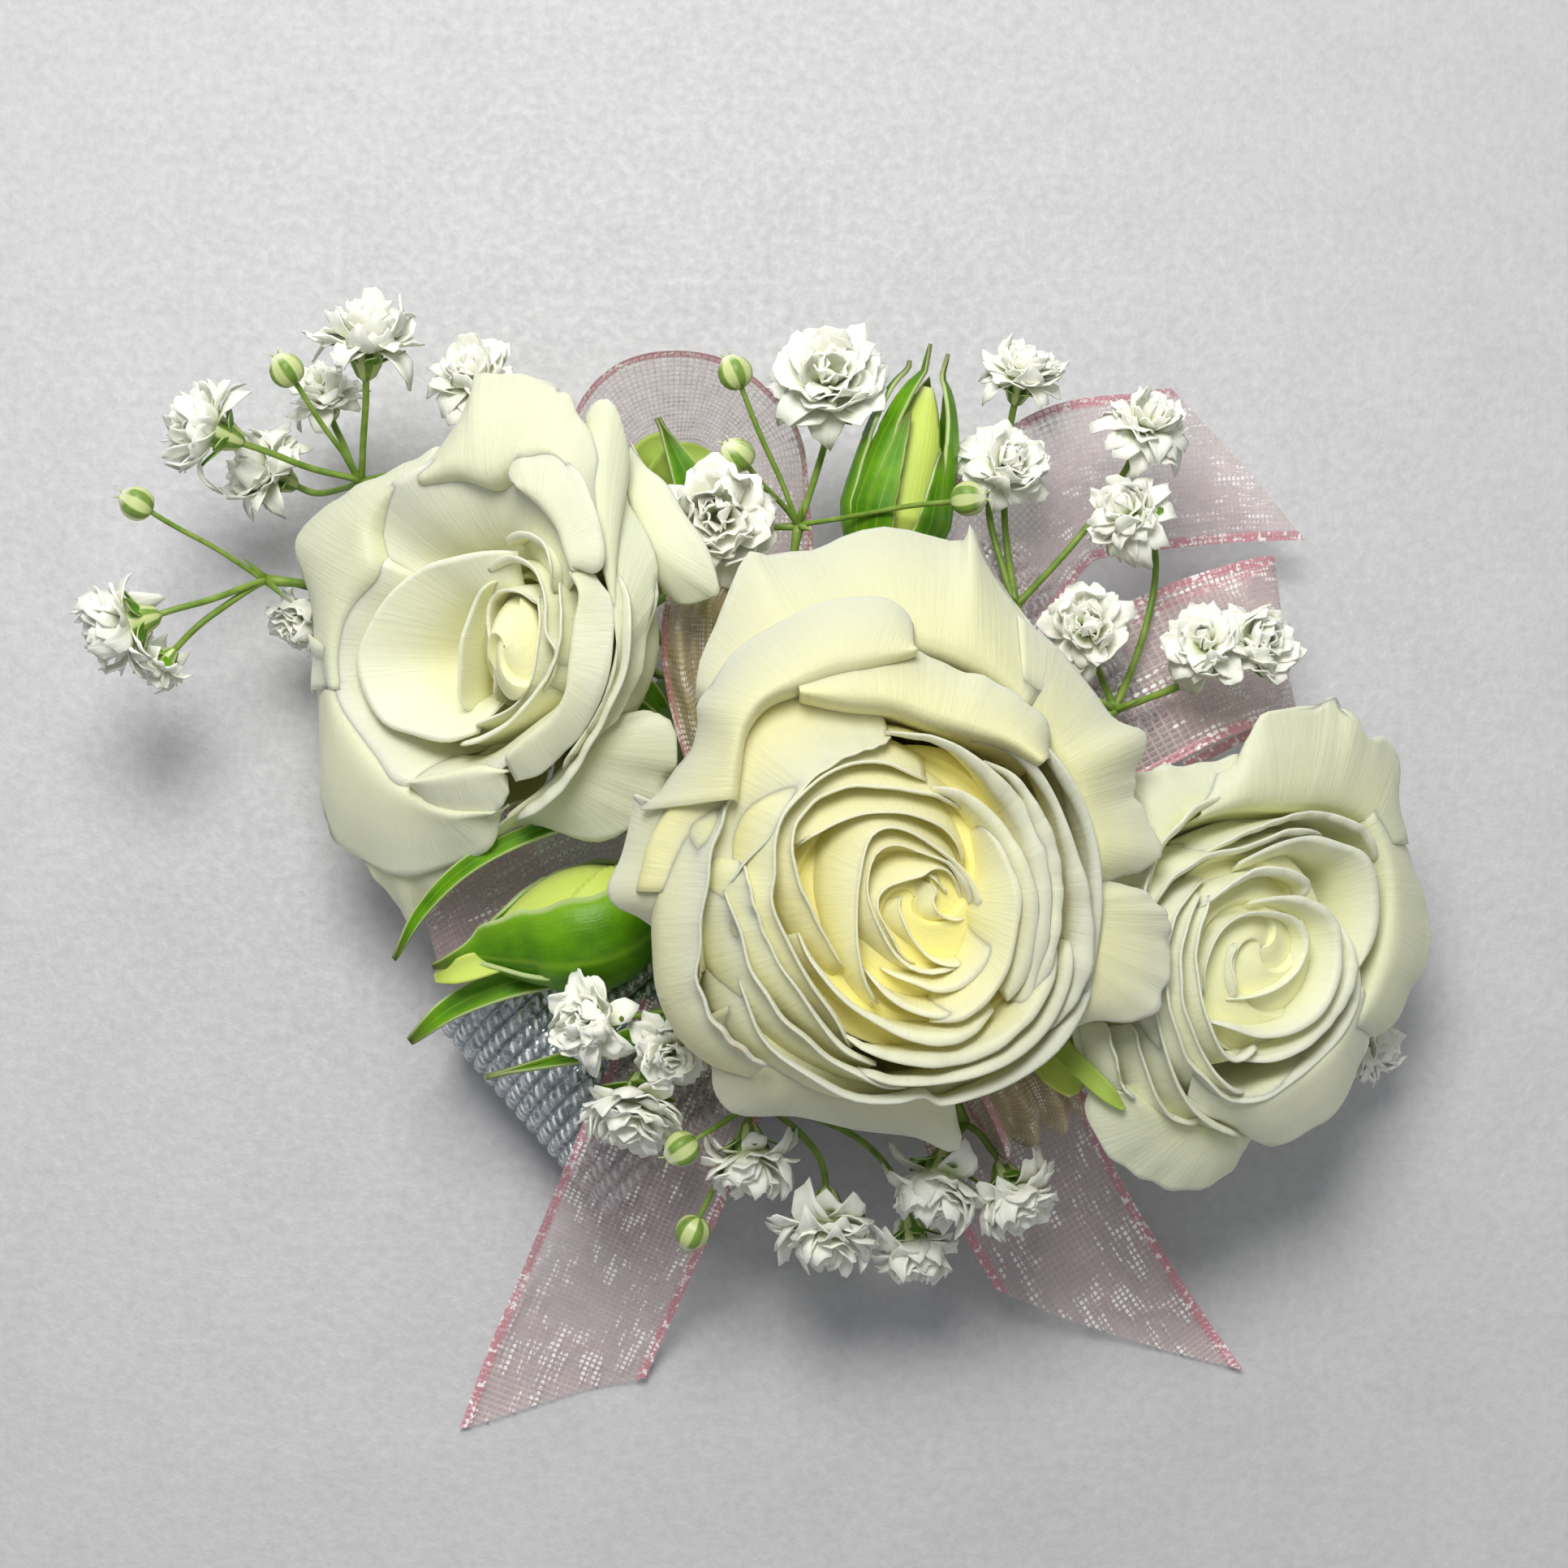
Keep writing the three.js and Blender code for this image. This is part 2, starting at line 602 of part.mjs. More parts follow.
// Hip, five sepals spread under the petals, and the stem that runs into the bundle.
function roseCalyx(rose) {
  const { radius, height } = hip;
  const cup = turned([[1.4, 0], [radius * 0.8, 1.4], [radius, 3], [radius * 0.78, height]], 10);
  const sepals = [0, 1, 2, 3, 4].map((k) => {
    const turn = (k * 72 + 30) * degree;
    return blade((s, t) => {
      const r = 2.6 + 9.5 * t;
      const side = s * 1.7 * Math.sqrt(1 - 0.85 * t);
      const z = height - 0.75 - 3.4 * t * t + 0.2 * Math.abs(s);
      return new THREE.Vector3(
        r * Math.cos(turn) - side * Math.sin(turn),
        r * Math.sin(turn) + side * Math.cos(turn),
        z,
      );
    }, 2, 2, 0.6);
  });
  const matrix = stand(rose.base, rose.face);
  const low = new THREE.Vector3(0, 0, 1.5).applyMatrix4(matrix);
  const bottom = new THREE.Vector3(0, 0, -0.6).applyMatrix4(matrix);
  const stem = tube([low, bottom, vector(rose.stemEnd)], [1.7, 1.6, 1.5], 6);
  return fuse([placed(fuse([cup, ...sepals]), matrix), stem]);
}

// ---------------------------------------------------------------- buds
const budProfile = (bud, t) => bud.radius * Math.sin(Math.PI * Math.min(1, t + 0.12)) ** 0.8
  * (1 - 0.45 * t);

function budPetals(bud) {
  const rings = [0.09, 0.22, 0.4, 0.6, 0.78, 0.9].map((t) => {
    const radius = Math.max(budProfile(bud, t) - 0.9, 0.35);
    return [radius, bud.length * (0.12 + 0.88 * t)];
  });
  const wound = (angle, ring) => 1 + 0.1 * Math.sin(2 * angle + ring * 0.9);
  return placed(turned(rings, 10, wound), stand(bud.base, bud.face));
}

function budSepals(bud) {
  const cup = turned([
    [1.1, -0.4], [bud.radius * 0.62, 0.9], [bud.radius * 0.7, bud.length * 0.12],
    [bud.radius * 0.5, bud.length * 0.19 - clearance],
  ], 10);
  const sepals = bud.sepals.map((sepal) => {
    const turn = sepal.turn * degree;
    return blade((s, t) => {
      const height = 0.8 + sepal.length * t;
      const share = Math.min(height / bud.length, 1);
      const shell = Math.max(budProfile(bud, Math.max(share - 0.12, 0) / 0.88), 0.4);
      const away = shell + 0.5 + sepal.spread * t ** 1.6 - 1.2 * (1 - t) ** 10;
      const half = sepal.width * Math.sin(Math.PI * Math.min(0.94, t * 0.75 + 0.22)) ** 1.1;
      const angle = turn + (s * half) / Math.max(away, 2.2);
      return new THREE.Vector3(away * Math.cos(angle), away * Math.sin(angle), height);
    }, 2, 4, 0.6);
  });
  const matrix = stand(bud.base, bud.face);
  const low = new THREE.Vector3(0, 0, 0.6).applyMatrix4(matrix);
  const bottom = new THREE.Vector3(0, 0, -1.4).applyMatrix4(matrix);
  const stem = tube([low, bottom, vector(bud.stemEnd)], [1.2, 1.2, 1.1], 6);
  return fuse([placed(fuse([cup, ...sepals]), matrix), stem]);
}

// ---------------------------------------------------------------- leaves and sprays
function leafBlade(leaf) {
  const curve = new THREE.CatmullRomCurve3(leaf.path.map(vector));
  return blade((s, t) => {
    const point = curve.getPointAt(t);
    const ahead = curve.getTangentAt(t);
    const side = new THREE.Vector3(-ahead.y, ahead.x, 0).normalize();
    const half = leaf.half * Math.max(0.25, Math.sin(Math.PI * Math.min(0.97, 0.2 + t * 0.8)));
    return point.addScaledVector(side, s * half).add(new THREE.Vector3(0, 0, 0.3 * Math.abs(s)));
  }, 2, 8, 0.6);
}

// A double floret: a small cup, then layers of notched petals, each smaller and higher.
function floretBody(size, phase) {
  const { radius, height, petals, calyx } = floret;
  const rings = [
    [calyx, -0.2],
    [radius, height * 0.52],
    [radius * 0.72, height * 0.66],
    [radius * 0.84, height * 0.86],
    [radius * 0.4, height],
  ].map(([r, z]) => [r * size, z * size]);
  const notched = (angle, ring) => {
    if (ring < 1) return 1;
    return 1 + 0.13 * Math.cos(petals * angle + (ring > 2 ? Math.PI : 0) + phase);
  };
  return turned(rings, petals * 2, notched);
}

const floretSeat = 0.5; // share of the floret's height that lies below its `at` point

function sprayBody(spray) {
  const fork = vector(spray.root[spray.root.length - 1]);
  const rootPath = smoothPath(spray.root, 5);
  const bodies = [tube(rootPath, rootPath.map(() => stemRadius), 4)];
  const stalk = (end, lean) => {
    const curve = new THREE.QuadraticBezierCurve3(fork, lean, end);
    const points = curve.getPoints(3);
    bodies.push(tube(points, points.map(() => stalkRadius), 4));
  };
  for (const head of spray.heads) {
    const face = vector(head.face).normalize();
    const foot = vector(head.at).addScaledVector(face, -floretSeat * floret.height * head.size);
    const reach = foot.distanceTo(fork) * 0.45;
    stalk(foot.clone().addScaledVector(face, 0.5), foot.clone().addScaledVector(face, -reach));
    bodies.push(placed(floretBody(head.size, 0), stand(foot.toArray(), head.face)));
  }
  for (const bud of spray.buds) {
    const centre = vector(bud);
    const lean = centre.clone().lerp(fork, 0.5).add(new THREE.Vector3(0, 0, 1));
    stalk(centre, lean);
    const ahead = centre.clone().sub(lean);
    const ball = [[0.5, -budRadius], [1.25, -0.7], [1.4, 0.5], [0.5, budRadius]];
    bodies.push(placed(turned(ball, 6), stand(bud, ahead.toArray())));
  }
  return fuse(bodies);
}

// ---------------------------------------------------------------- ribbon, band, pad, bundle
function ribbonBody(ribbon) {
  const line = new THREE.CatmullRomCurve3(ribbon.points.map(vector), false, 'centripetal');
  const acrossLine = new THREE.CatmullRomCurve3(ribbon.across.map(vector), false, 'centripetal');
  const length = line.getLength();
  const [first, second] = ribbon.short;
  return blade((s, t) => {
    const missing = (first * (1 - s) + second * (1 + s)) / 2;
    const share = t * (1 - missing / length);
    const ahead = line.getTangent(share);
    const side = acrossLine.getPoint(share);
    side.addScaledVector(ahead, -side.dot(ahead)).normalize();
    return line.getPoint(share).addScaledVector(side, (s * ribbon.width) / 2);
  }, 2, ribbon.steps, ribbonThickness);
}

// The band's loop: a straight run, a half-round bend, and back, seen from its side.
function bandLine() {
  const middle = band.height / 2;
  const straight = band.length / 2 - middle;
  const stations = [];
  for (const end of [1, -1]) {
    for (let k = 0; k <= band.bendSteps; k += 1) {
      const angle = (-90 + (180 * k) / band.bendSteps) * degree;
      const outward = [end * Math.cos(angle), end * Math.sin(angle)];
      stations.push({ at: [end * straight, middle], outward });
    }
  }
  return { stations, reach: middle };
}

// Raised flat-topped cords run round the outside of the band.
function bandSection() {
  const pitch = band.width / band.ropes;
  const section = [];
  for (let k = 0; k < band.ropes; k += 1) {
    const start = -band.width / 2 + k * pitch;
    section.push([start, band.ropeDepth], [start + pitch * 0.3, 0], [start + pitch * 0.7, 0]);
  }
  section.push([band.width / 2, band.ropeDepth]);
  section.push([band.width / 2, band.wall], [-band.width / 2, band.wall]);
  return section;
}

function wristband() {
  const { stations, reach } = bandLine();
  const section = bandSection();
  const points = [];
  const faces = [];
  for (const { at, outward } of stations) {
    for (const [across, depth] of section) {
      const out = reach - depth;
      points.push(new THREE.Vector3(at[0] + outward[0] * out, across, at[1] + outward[1] * out));
    }
  }
  const size = section.length;
  stations.forEach((_, k) => {
    const next = (k + 1) % stations.length;
    for (let i = 0; i < size; i += 1) {
      const j = (i + 1) % size;
      const [a, b, c, d] = [k * size + i, k * size + j, next * size + j, next * size + i];
      faces.push([a, b, c], [a, c, d]);
    }
  });
  return bodyFrom(points, faces).rotate([0, 0, band.turn]);
}

function basePad() {
  const disc = Manifold.cylinder(pad.thickness, 1, 1, pad.sides);
  return disc.scale([pad.length / 2, pad.width / 2, 1]).rotate([0, 0, pad.turn])
    .translate([pad.centre[0], pad.centre[1], band.height + clearance]);
}

function stemBundle(extra) {
  const flat = bundle.path.map(([x, y]) => [x, y, bundleHeight]);
  const line = smoothPath(flat, 10);
  const ends = extra > 0 ? 1 : 0.8;
  const radii = line.map((_, k) => (bundle.radius + extra) * (k % 10 === 0 ? ends : 1));
  return tube(line, radii, 8);
}

// ---------------------------------------------------------------- assembly
const corsage = new THREE.Group();
corsage.name = 'rose_corsage';

function add(name, body, look) {
  const mesh = body.getMesh();
  const geometry = new THREE.BufferGeometry();
  geometry.setAttribute('position', new THREE.BufferAttribute(mesh.vertProperties, 3));
  geometry.setIndex(new THREE.BufferAttribute(mesh.triVerts, 1));
  geometry.computeVertexNormals();
  const solid = new THREE.Mesh(geometry, new THREE.MeshStandardMaterial(colours[look]));
  solid.name = name;
  corsage.add(solid);
}

// What carries the flowers, grown by the clearance, is cut from the stems that reach it.
const carried = Manifold.union([stemBundle(clearance), basePad().translate([0, 0, clearance])]);
const seated = (body) => fuse([body.subtract(carried)]);

add('wristband', wristband(), 'silver');
add('base_pad', basePad(), 'pad');
add('stem_bundle', stemBundle(0), 'tape');
for (const [side, rose] of Object.entries(roses)) {
  add(`rose_${side}_petals`, rosePetals(rose), side === 'centre' ? 'warmCream' : 'cream');
  add(`rose_${side}_calyx`, seated(roseCalyx(rose)), 'green');
}
for (const [side, bud] of Object.entries(buds)) {
  add(`bud_${side}_petals`, budPetals(bud), 'paleGreen');
  add(`bud_${side}_sepals`, seated(budSepals(bud)), 'green');
}
for (const [name, leaf] of Object.entries(leaves)) {
  add(name, seated(leafBlade(leaf)), 'green');
}
for (const [name, spray] of Object.entries(sprays)) {
  add(name, seated(sprayBody(spray)), 'white');
}
for (const [name, ribbon] of Object.entries(ribbons)) {
  add(name, ribbonBody(ribbon), 'pink');
}

export default corsage;
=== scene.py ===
# Rose corsage on a stretch band, dressed for rendering. Lengths are written in millimetres
# and turned to metres when a mesh is made.
import math

import bpy
import numpy as np
from mathutils import Matrix


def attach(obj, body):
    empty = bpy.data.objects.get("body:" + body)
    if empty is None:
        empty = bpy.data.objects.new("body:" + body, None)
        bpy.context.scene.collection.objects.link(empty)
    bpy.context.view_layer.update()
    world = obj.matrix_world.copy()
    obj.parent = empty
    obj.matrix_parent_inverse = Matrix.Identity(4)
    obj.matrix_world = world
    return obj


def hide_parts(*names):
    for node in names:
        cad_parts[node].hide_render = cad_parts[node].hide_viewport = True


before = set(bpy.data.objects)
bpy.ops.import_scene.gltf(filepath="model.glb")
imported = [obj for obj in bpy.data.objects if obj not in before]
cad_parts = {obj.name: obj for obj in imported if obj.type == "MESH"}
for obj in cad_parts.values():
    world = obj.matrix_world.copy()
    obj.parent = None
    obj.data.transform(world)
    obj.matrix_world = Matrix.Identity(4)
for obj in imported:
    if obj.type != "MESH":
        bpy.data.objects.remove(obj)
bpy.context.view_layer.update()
mm = 0.001
tau = 2 * math.pi
chance = np.random.default_rng(11)
print("stage: frame loaded")


# meshes from grids

def unit(v):
    # each vector divided by its length
    return v / np.maximum(np.linalg.norm(v, axis=-1, keepdims=True), 1e-9)


def gridQuads(count, rows, cols, wrap):
    # corner numbers of the squares of `count` grids; wrap joins the last column to the first
    r, c = np.meshgrid(np.arange(rows - 1), np.arange(cols if wrap else cols - 1), indexing="ij")
    right = (c + 1) % cols
    square = np.stack([r * cols + c, r * cols + right, (r + 1) * cols + right, (r + 1) * cols + c], -1)
    return (square.reshape(1, -1, 4) + (np.arange(count) * rows * cols)[:, None, None]).reshape(-1, 4)


def addPiece(name, points, faces, look, slot, node=None, uv=None, values=None, thick=0):
    # one object from points (mm) and faces of four corners; a repeated corner makes a triangle
    points = np.asarray(points, float).reshape(-1, 3)
    sizes = np.where(faces[:, 3] == faces[:, 2], 3, 4)
    corners = faces.ravel()[(np.arange(4)[None, :] < sizes[:, None]).ravel()]
    mesh = bpy.data.meshes.new(name)
    mesh.vertices.add(len(points))
    mesh.vertices.foreach_set("co", (points * mm).astype(np.float32).ravel())
    mesh.loops.add(len(corners))
    mesh.loops.foreach_set("vertex_index", corners.astype(np.int32))
    mesh.polygons.add(len(faces))
    starts = np.concatenate([[0], np.cumsum(sizes)[:-1]])
    mesh.polygons.foreach_set("loop_start", starts.astype(np.int32))
    mesh.polygons.foreach_set("use_smooth", np.full(len(faces), True))
    mesh.update(calc_edges=True)
    if uv is not None:
        layer = mesh.uv_layers.new(name="surfaceUv")
        layer.data.foreach_set("uv", np.asarray(uv, np.float32).reshape(-1, 2)[corners].ravel())
    for key, value in (values or {}).items():
        attribute = mesh.attributes.new(key, "FLOAT", "POINT")
        attribute.data.foreach_set("value", np.asarray(value, np.float32).ravel())
    mesh.validate()
    mesh.materials.append(look)
    piece = bpy.data.objects.new(name, mesh)
    bpy.context.scene.collection.objects.link(piece)
    if thick:
        wall = piece.modifiers.new("wall", "SOLIDIFY")
        wall.thickness = thick * mm
        wall.offset = 0
    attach(piece, "root")
    if node:
        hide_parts(node)
    return piece


def gridPiece(name, grids, look, slot, wrap=False, **more):
    # grids: array (count, rows, cols, 3), or one grid of rows and columns
    grids = grids if grids.ndim == 4 else grids[None]
    return addPiece(name, grids, gridQuads(*grids.shape[:3], wrap), look, slot, **more)


def gridUv(count, rows, cols):
    # u across, v along, the same on each grid
    v, u = np.meshgrid(np.linspace(0, 1, rows), np.linspace(0, 1, cols), indexing="ij")
    return np.broadcast_to(np.stack([u, v], -1), (count, rows, cols, 2))


def throughPoints(points, share):
    # centripetal Catmull-Rom curve through points, read at shares 0..1 of its segments
    p = np.asarray(points, float)
    p = np.concatenate([[2 * p[0] - p[1]], p, [2 * p[-1] - p[-2]]])
    last = len(p) - 4
    place = np.clip(np.asarray(share, float) * (last + 1), 0, last + 1)
    k = np.minimum(place.astype(int), last)
    w = (place - k).reshape(place.shape + (1,) * (p.ndim - 1))
    a, b, c, d = (p[k + i] for i in range(4))
    gaps = (a, b), (b, c), (c, d)
    ab, bc, cd = (np.sqrt(np.linalg.norm(y - x, axis=-1, keepdims=True)) + 1e-9 for x, y in gaps)
    m1 = ((b - a) / ab - (c - a) / (ab + bc) + (c - b) / bc) * bc
    m2 = ((c - b) / bc - (d - b) / (bc + cd) + (d - c) / cd) * bc
    return ((2 * w**3 - 3 * w**2 + 1) * b + (w**3 - 2 * w**2 + w) * m1 + (3 * w**2 - 2 * w**3) * c
            + (w**3 - w**2) * m2)


def withZero(plan):
    # x and y in turn made points with z = 0
    plan = np.array(plan, float).reshape(-1, 2)
    return np.column_stack([plan, np.zeros(len(plan))])


def around(r, angle, z, side=0):
    # points at distance r along each angle and `side` across it
    return np.stack(np.broadcast_arrays(r * np.cos(angle) - side * np.sin(angle),
                                        r * np.sin(angle) + side * np.cos(angle), z), -1)


def fullTurn(count):
    # evenly spaced angles of a whole turn, the last short of the first by one step
    return np.linspace(0, tau, count, endpoint=False)


def standing(base, face):
    # the turn that stands +Z along face, its first axis the one nearest world +X (or +Y)
    up = unit(np.asarray(face, float))
    hint = np.array([0.0, 1, 0]) if abs(up[0]) > 0.8 else np.array([1.0, 0, 0])
    across = unit(hint - (hint @ up) * up)
    return np.stack([across, np.cross(up, across), up]), np.asarray(base, float)


def placed(points, stand):
    # local points turned and moved: p . rows + base
    turn, base = stand
    return points @ turn + base


# pixel: mm per pixel at the target, in an image `across` pixels wide
camera = {"target": (-2.393, 6.696, 20), "elevation": 80, "distance": 320, "pixel": 0.078, "across": 1932,
          "sensor": 36}


def heightsOf(heights, count):
    # a short list of heights spread evenly over so many points
    return np.interp(np.linspace(0, 1, count), np.linspace(0, 1, len(heights)), heights)


def sighted(pixels, heights, stand):
    # x and y in pixels in turn made x and y in a bloom's own axes, to 0.1 mm: the camera's line
    # through each pixel, place + k (right x - up y - back), meets the point's height there
    turn, base = stand
    tilt = math.radians(camera["elevation"])
    back = np.array([0, -math.cos(tilt), math.sin(tilt)])
    up = np.array([0, math.sin(tilt), math.cos(tilt)])
    off = np.array(pixels, float).reshape(-1, 2) - camera["across"] / 2
    off = off * camera["pixel"] / camera["distance"]
    sight = (off[:, :1] * [1, 0, 0] - off[:, 1:] * up - back) @ turn.T
    place = turn @ (np.array(camera["target"]) + camera["distance"] * back - base)
    reach = (heightsOf(heights, len(off)) - place[2]) / sight[:, 2]
    return (place + sight * reach[:, None])[:, :2].round(1).ravel()


def tubeGrid(path, radii, sides):
    # rings about a path: path + r (side cos a + other sin a); the side vector is carried along
    path = np.asarray(path, float)
    radii = np.broadcast_to(radii, (len(path),))
    ahead = unit(np.gradient(path, axis=0))
    side = np.array([0.0, 0, 1]) if abs(ahead[0, 2]) < 0.9 else np.array([1.0, 0, 0])
    carried = []
    for step in ahead:
        side = unit(side - (side @ step) * step)
        carried.append(side)
    side = np.array(carried)
    angle = fullTurn(sides)[None, :, None]
    ring = side[:, None] * np.cos(angle) + np.cross(ahead, side)[:, None] * np.sin(angle)
    return path[:, None] + ring * radii[:, None, None]


def mergeParts(parts):
    # joins (points, faces, extra...) tuples into one set, faces renumbered
    start, faces = 0, []
    for part in parts:
        faces.append(part[1] + start)
        start += len(part[0])
    joined = [np.concatenate(column) for column in zip(*parts)]
    return [joined[0], np.concatenate(faces), *joined[2:]]


def closedTubes(tubes):
    # points, faces and (around, along) of several tubes with closed ends
    parts = []
    for grid in tubes:
        rows, cols = grid.shape[:2]
        points = np.concatenate([grid.reshape(-1, 3), [grid[0].mean(0)], [grid[-1].mean(0)]])
        uv = np.stack([np.concatenate([np.tile(np.arange(cols) / cols, rows), [0, 0]]),
                       np.concatenate([np.repeat(np.linspace(0, 1, rows), cols), [0, 1]])], -1)
        k = np.arange(cols)
        after = (k + 1) % cols
        first = np.full(cols, rows * cols)
        top = (rows - 1) * cols
        faces = np.concatenate([gridQuads(1, rows, cols, True), np.stack([after, k, first, first], -1),
                                np.stack([top + k, top + after, first + 1, first + 1], -1)])
        parts.append((points, faces, uv))
    return mergeParts(parts)


# materials

socketNames = {
    "color": "Base Color", "rough": "Roughness", "metal": "Metallic", "alpha": "Alpha",
    "spec": "Specular IOR Level", "sss": "Subsurface Weight", "sssRadius": "Subsurface Radius",
    "sssScale": "Subsurface Scale", "sheen": "Sheen Weight", "sheenRough": "Sheen Roughness",
}


class NodePen:
    # short calls for building one material's nodes
    def __init__(self, name, **values):
        self.material = bpy.data.materials.new(name)
        self.material.use_nodes = True
        self.tree = self.material.node_tree
        self.shader = self.tree.nodes["Principled BSDF"]
        for key, value in values.items():
            self.shader.inputs[socketNames[key]].default_value = value

    def feed(self, socket, value):
        # a socket takes another node's output or a fixed value
        if isinstance(value, bpy.types.NodeSocket):
            self.tree.links.new(value, socket)
        else:
            socket.default_value = value

    def node(self, kind, **inputs):
        made = self.tree.nodes.new(kind)
        for key, value in inputs.items():
            self.feed(made.inputs[key], value)
        return made

    def noise(self, vector, scale, detail=3, rough=0.5):
        made = self.node("ShaderNodeTexNoise", Vector=vector, Scale=scale, Detail=detail, Roughness=rough)
        return made.outputs["Fac"]

    def math(self, kind, a, b=0.0, clamp=False):
        # one sum of two numbers, kept in 0..1 where it is clamped
        made = self.tree.nodes.new("ShaderNodeMath")
        made.operation, made.use_clamp = kind, clamp
        self.feed(made.inputs[0], a)
        self.feed(made.inputs[1], b)
        return made.outputs[0]

    def times(self, a, b, clamp=False):
        return self.math("MULTIPLY", a, b, clamp)

    def plus(self, a, b, clamp=False):
        return self.math("ADD", a, b, clamp)

    def mix(self, share, a, b):
        # colour a turned to colour b by the share
        made = self.tree.nodes.new("ShaderNodeMix")
        made.data_type = "RGBA"
        for socket, value in ((made.inputs["Factor"], share), (made.inputs[6], a), (made.inputs[7], b)):
            self.feed(socket, (*value, 1) if isinstance(value, tuple) else value)
        return made.outputs[2]

    def ramp(self, source, low, high, a=0.0, b=1.0):
        # a + (b - a)(source - low) / (high - low), held between a and b
        made = self.node("ShaderNodeMapRange", Value=source)
        for key, value in (("From Min", low), ("From Max", high), ("To Min", a), ("To Max", b)):
            made.inputs[key].default_value = value
        return made.outputs["Result"]

    def stretch(self, vector, scale, turn=0.0):
        # the vector turned about its third axis and scaled
        made = self.node("ShaderNodeMapping", Vector=vector, Scale=scale, Rotation=(0, 0, turn))
        return made.outputs[0]

    def attribute(self, name):
        # a value written on the mesh's points
        made = self.tree.nodes.new("ShaderNodeAttribute")
        made.attribute_name = name
        return made.outputs["Fac"]

    def uv(self):
        # the whole coordinate, the part across and the part along
        made = self.tree.nodes.new("ShaderNodeUVMap")
        made.uv_map = "surfaceUv"
        split = self.node("ShaderNodeSeparateXYZ", Vector=made.outputs[0])
        return made.outputs[0], split.outputs[0], split.outputs[1]

    def place(self):
        # the object's own coordinates, in metres
        return self.tree.nodes.new("ShaderNodeTexCoord").outputs["Object"]

    def grain(self, scale, detail=3, rough=0.5):
        # noise on the object's own coordinates
        return self.noise(self.place(), scale, detail, rough)

    def finish(self, color, height, strength, distance, **others):
        # links the colour and any other socket, adds the bump and gives the material
        made = self.node("ShaderNodeBump", Height=height, Strength=strength, Distance=distance)
        self.tree.links.new(made.outputs["Normal"], self.shader.inputs["Normal"])
        for key, source in dict(color=color, **others).items():
            self.tree.links.new(source, self.shader.inputs[socketNames[key]])
        return self.material


def petalMaterial(name, look):
    # cream petal: golden at its foot and in the heart, partly its own colour and partly painted glow
    # standing in for light shining through and bouncing between the petals; near white at the rolled
    # rim, greener on the backs of old outer petals, faint lengthwise veins, a few tan nicks along old rims
    pen = NodePen(name, sss=look["sss"], sssRadius=(1.0, 0.9, 0.6), sssScale=0.0008, spec=0.3, sheen=0.06,
                  sheenRough=0.5)
    uv, _, v = pen.uv()
    age = pen.attribute("age")
    vein = pen.noise(pen.stretch(uv, (40, 1.6, 1)), 1.6, 4, 0.6)
    cloud = pen.grain(170, 4)
    inner = pen.ramp(age, 0, 0.75, 1, 0)
    # deep, towards the foot, brings warmth and gold: partly the petal's own colour, partly painted glow of
    # light shining through and bouncing between the petals
    deep = pen.ramp(v, 0.55, 0.97, 1, 0)
    warmth = pen.plus(pen.times(inner, 0.8), pen.times(deep, 0.5), clamp=True)
    body = pen.mix(warmth, look["pale"], look["warm"])
    gold = pen.times(deep, pen.plus(pen.times(inner, 0.55), look["goldFloor"]), clamp=True)
    body = pen.mix(gold, body, look["gold"])
    green = pen.times(pen.ramp(v, 0.2, 0.8, 1, 0.12), pen.ramp(age, 0.55, 1, 0, look["greenShare"]))
    body = pen.mix(green, body, look["green"])
    body = pen.mix(pen.times(pen.ramp(vein, 0.42, 0.7), 0.12), body, look["vein"])
    body = pen.mix(pen.times(pen.ramp(cloud, 0.42, 0.75), 0.1), body, look["vein"])
    body = pen.mix(pen.times(pen.attribute("tone"), 0.1), body, look["green"])
    rim = pen.times(pen.ramp(v, 0.92, 0.985), 0.4)
    body = pen.mix(rim, body, pen.mix(inner, look["rim"], look["youngRim"]))
    spot = pen.times(pen.ramp(v, 0.975, 1), pen.ramp(pen.grain(190, 3, 0.6), 0.58, 0.66))
    body = pen.mix(pen.times(spot, pen.ramp(age, 0.55, 0.9, 0, 0.8)), body, look["nick"])
    blush = pen.times(pen.ramp(pen.grain(75, 4, 0.7), 0.58, 0.76, 0, 0.45), pen.ramp(age, 0.7, 0.95))
    body = pen.mix(blush, body, look["tan"])
    height = pen.plus(pen.times(vein, 0.8), pen.times(pen.grain(800), 0.4))
    return pen.finish(body, height, 0.4, 0.0003, rough=pen.ramp(cloud, 0.2, 0.8, 0.42, 0.6))


def greenMaterial(name, look):
    # sepal, leaf or stem: a mid rib, paler downy edges, blotches of two greens
    pen = NodePen(name, rough=0.38, sss=0.05, sssRadius=(0.35, 0.7, 0.15), sssScale=0.0004, spec=0.25)
    uv, u, v = pen.uv()
    off = pen.math("ABSOLUTE", pen.math("SUBTRACT", u, 0.5))
    body = pen.mix(pen.ramp(pen.grain(240, 4), 0.35, 0.7), look["dark"], look["mid"])
    body = pen.mix(pen.times(pen.ramp(off, 0.2, 0.45), 0.3), body, look["pale"])
    body = pen.mix(pen.times(pen.ramp(off, 0.44, 0.485), look["edgeShare"]), body, look["down"])
    body = pen.mix(pen.ramp(off, 0, 0.05, 0.4, 0), body, look["pale"])
    body = pen.mix(pen.ramp(v, 0.82, 1, 0, look["tipShare"]), body, look["tip"])
    height = pen.plus(pen.noise(pen.stretch(uv, (26, 3, 1)), 2), pen.grain(1500, 2))
    return pen.finish(body, height, 0.3, 0.00018)


def stalkMaterial(look):
    # stalks: two greens in fine mottling, slightly glossy
    pen = NodePen("stalkGreen", rough=0.45, sss=0.1, sssRadius=(0.4, 0.8, 0.2), sssScale=0.0008, spec=0.45)
    body = pen.mix(pen.ramp(pen.grain(500, 4), 0.35, 0.7), look["dark"], look["pale"])
    return pen.finish(body, pen.grain(2500, 2), 0.2, 0.0001)


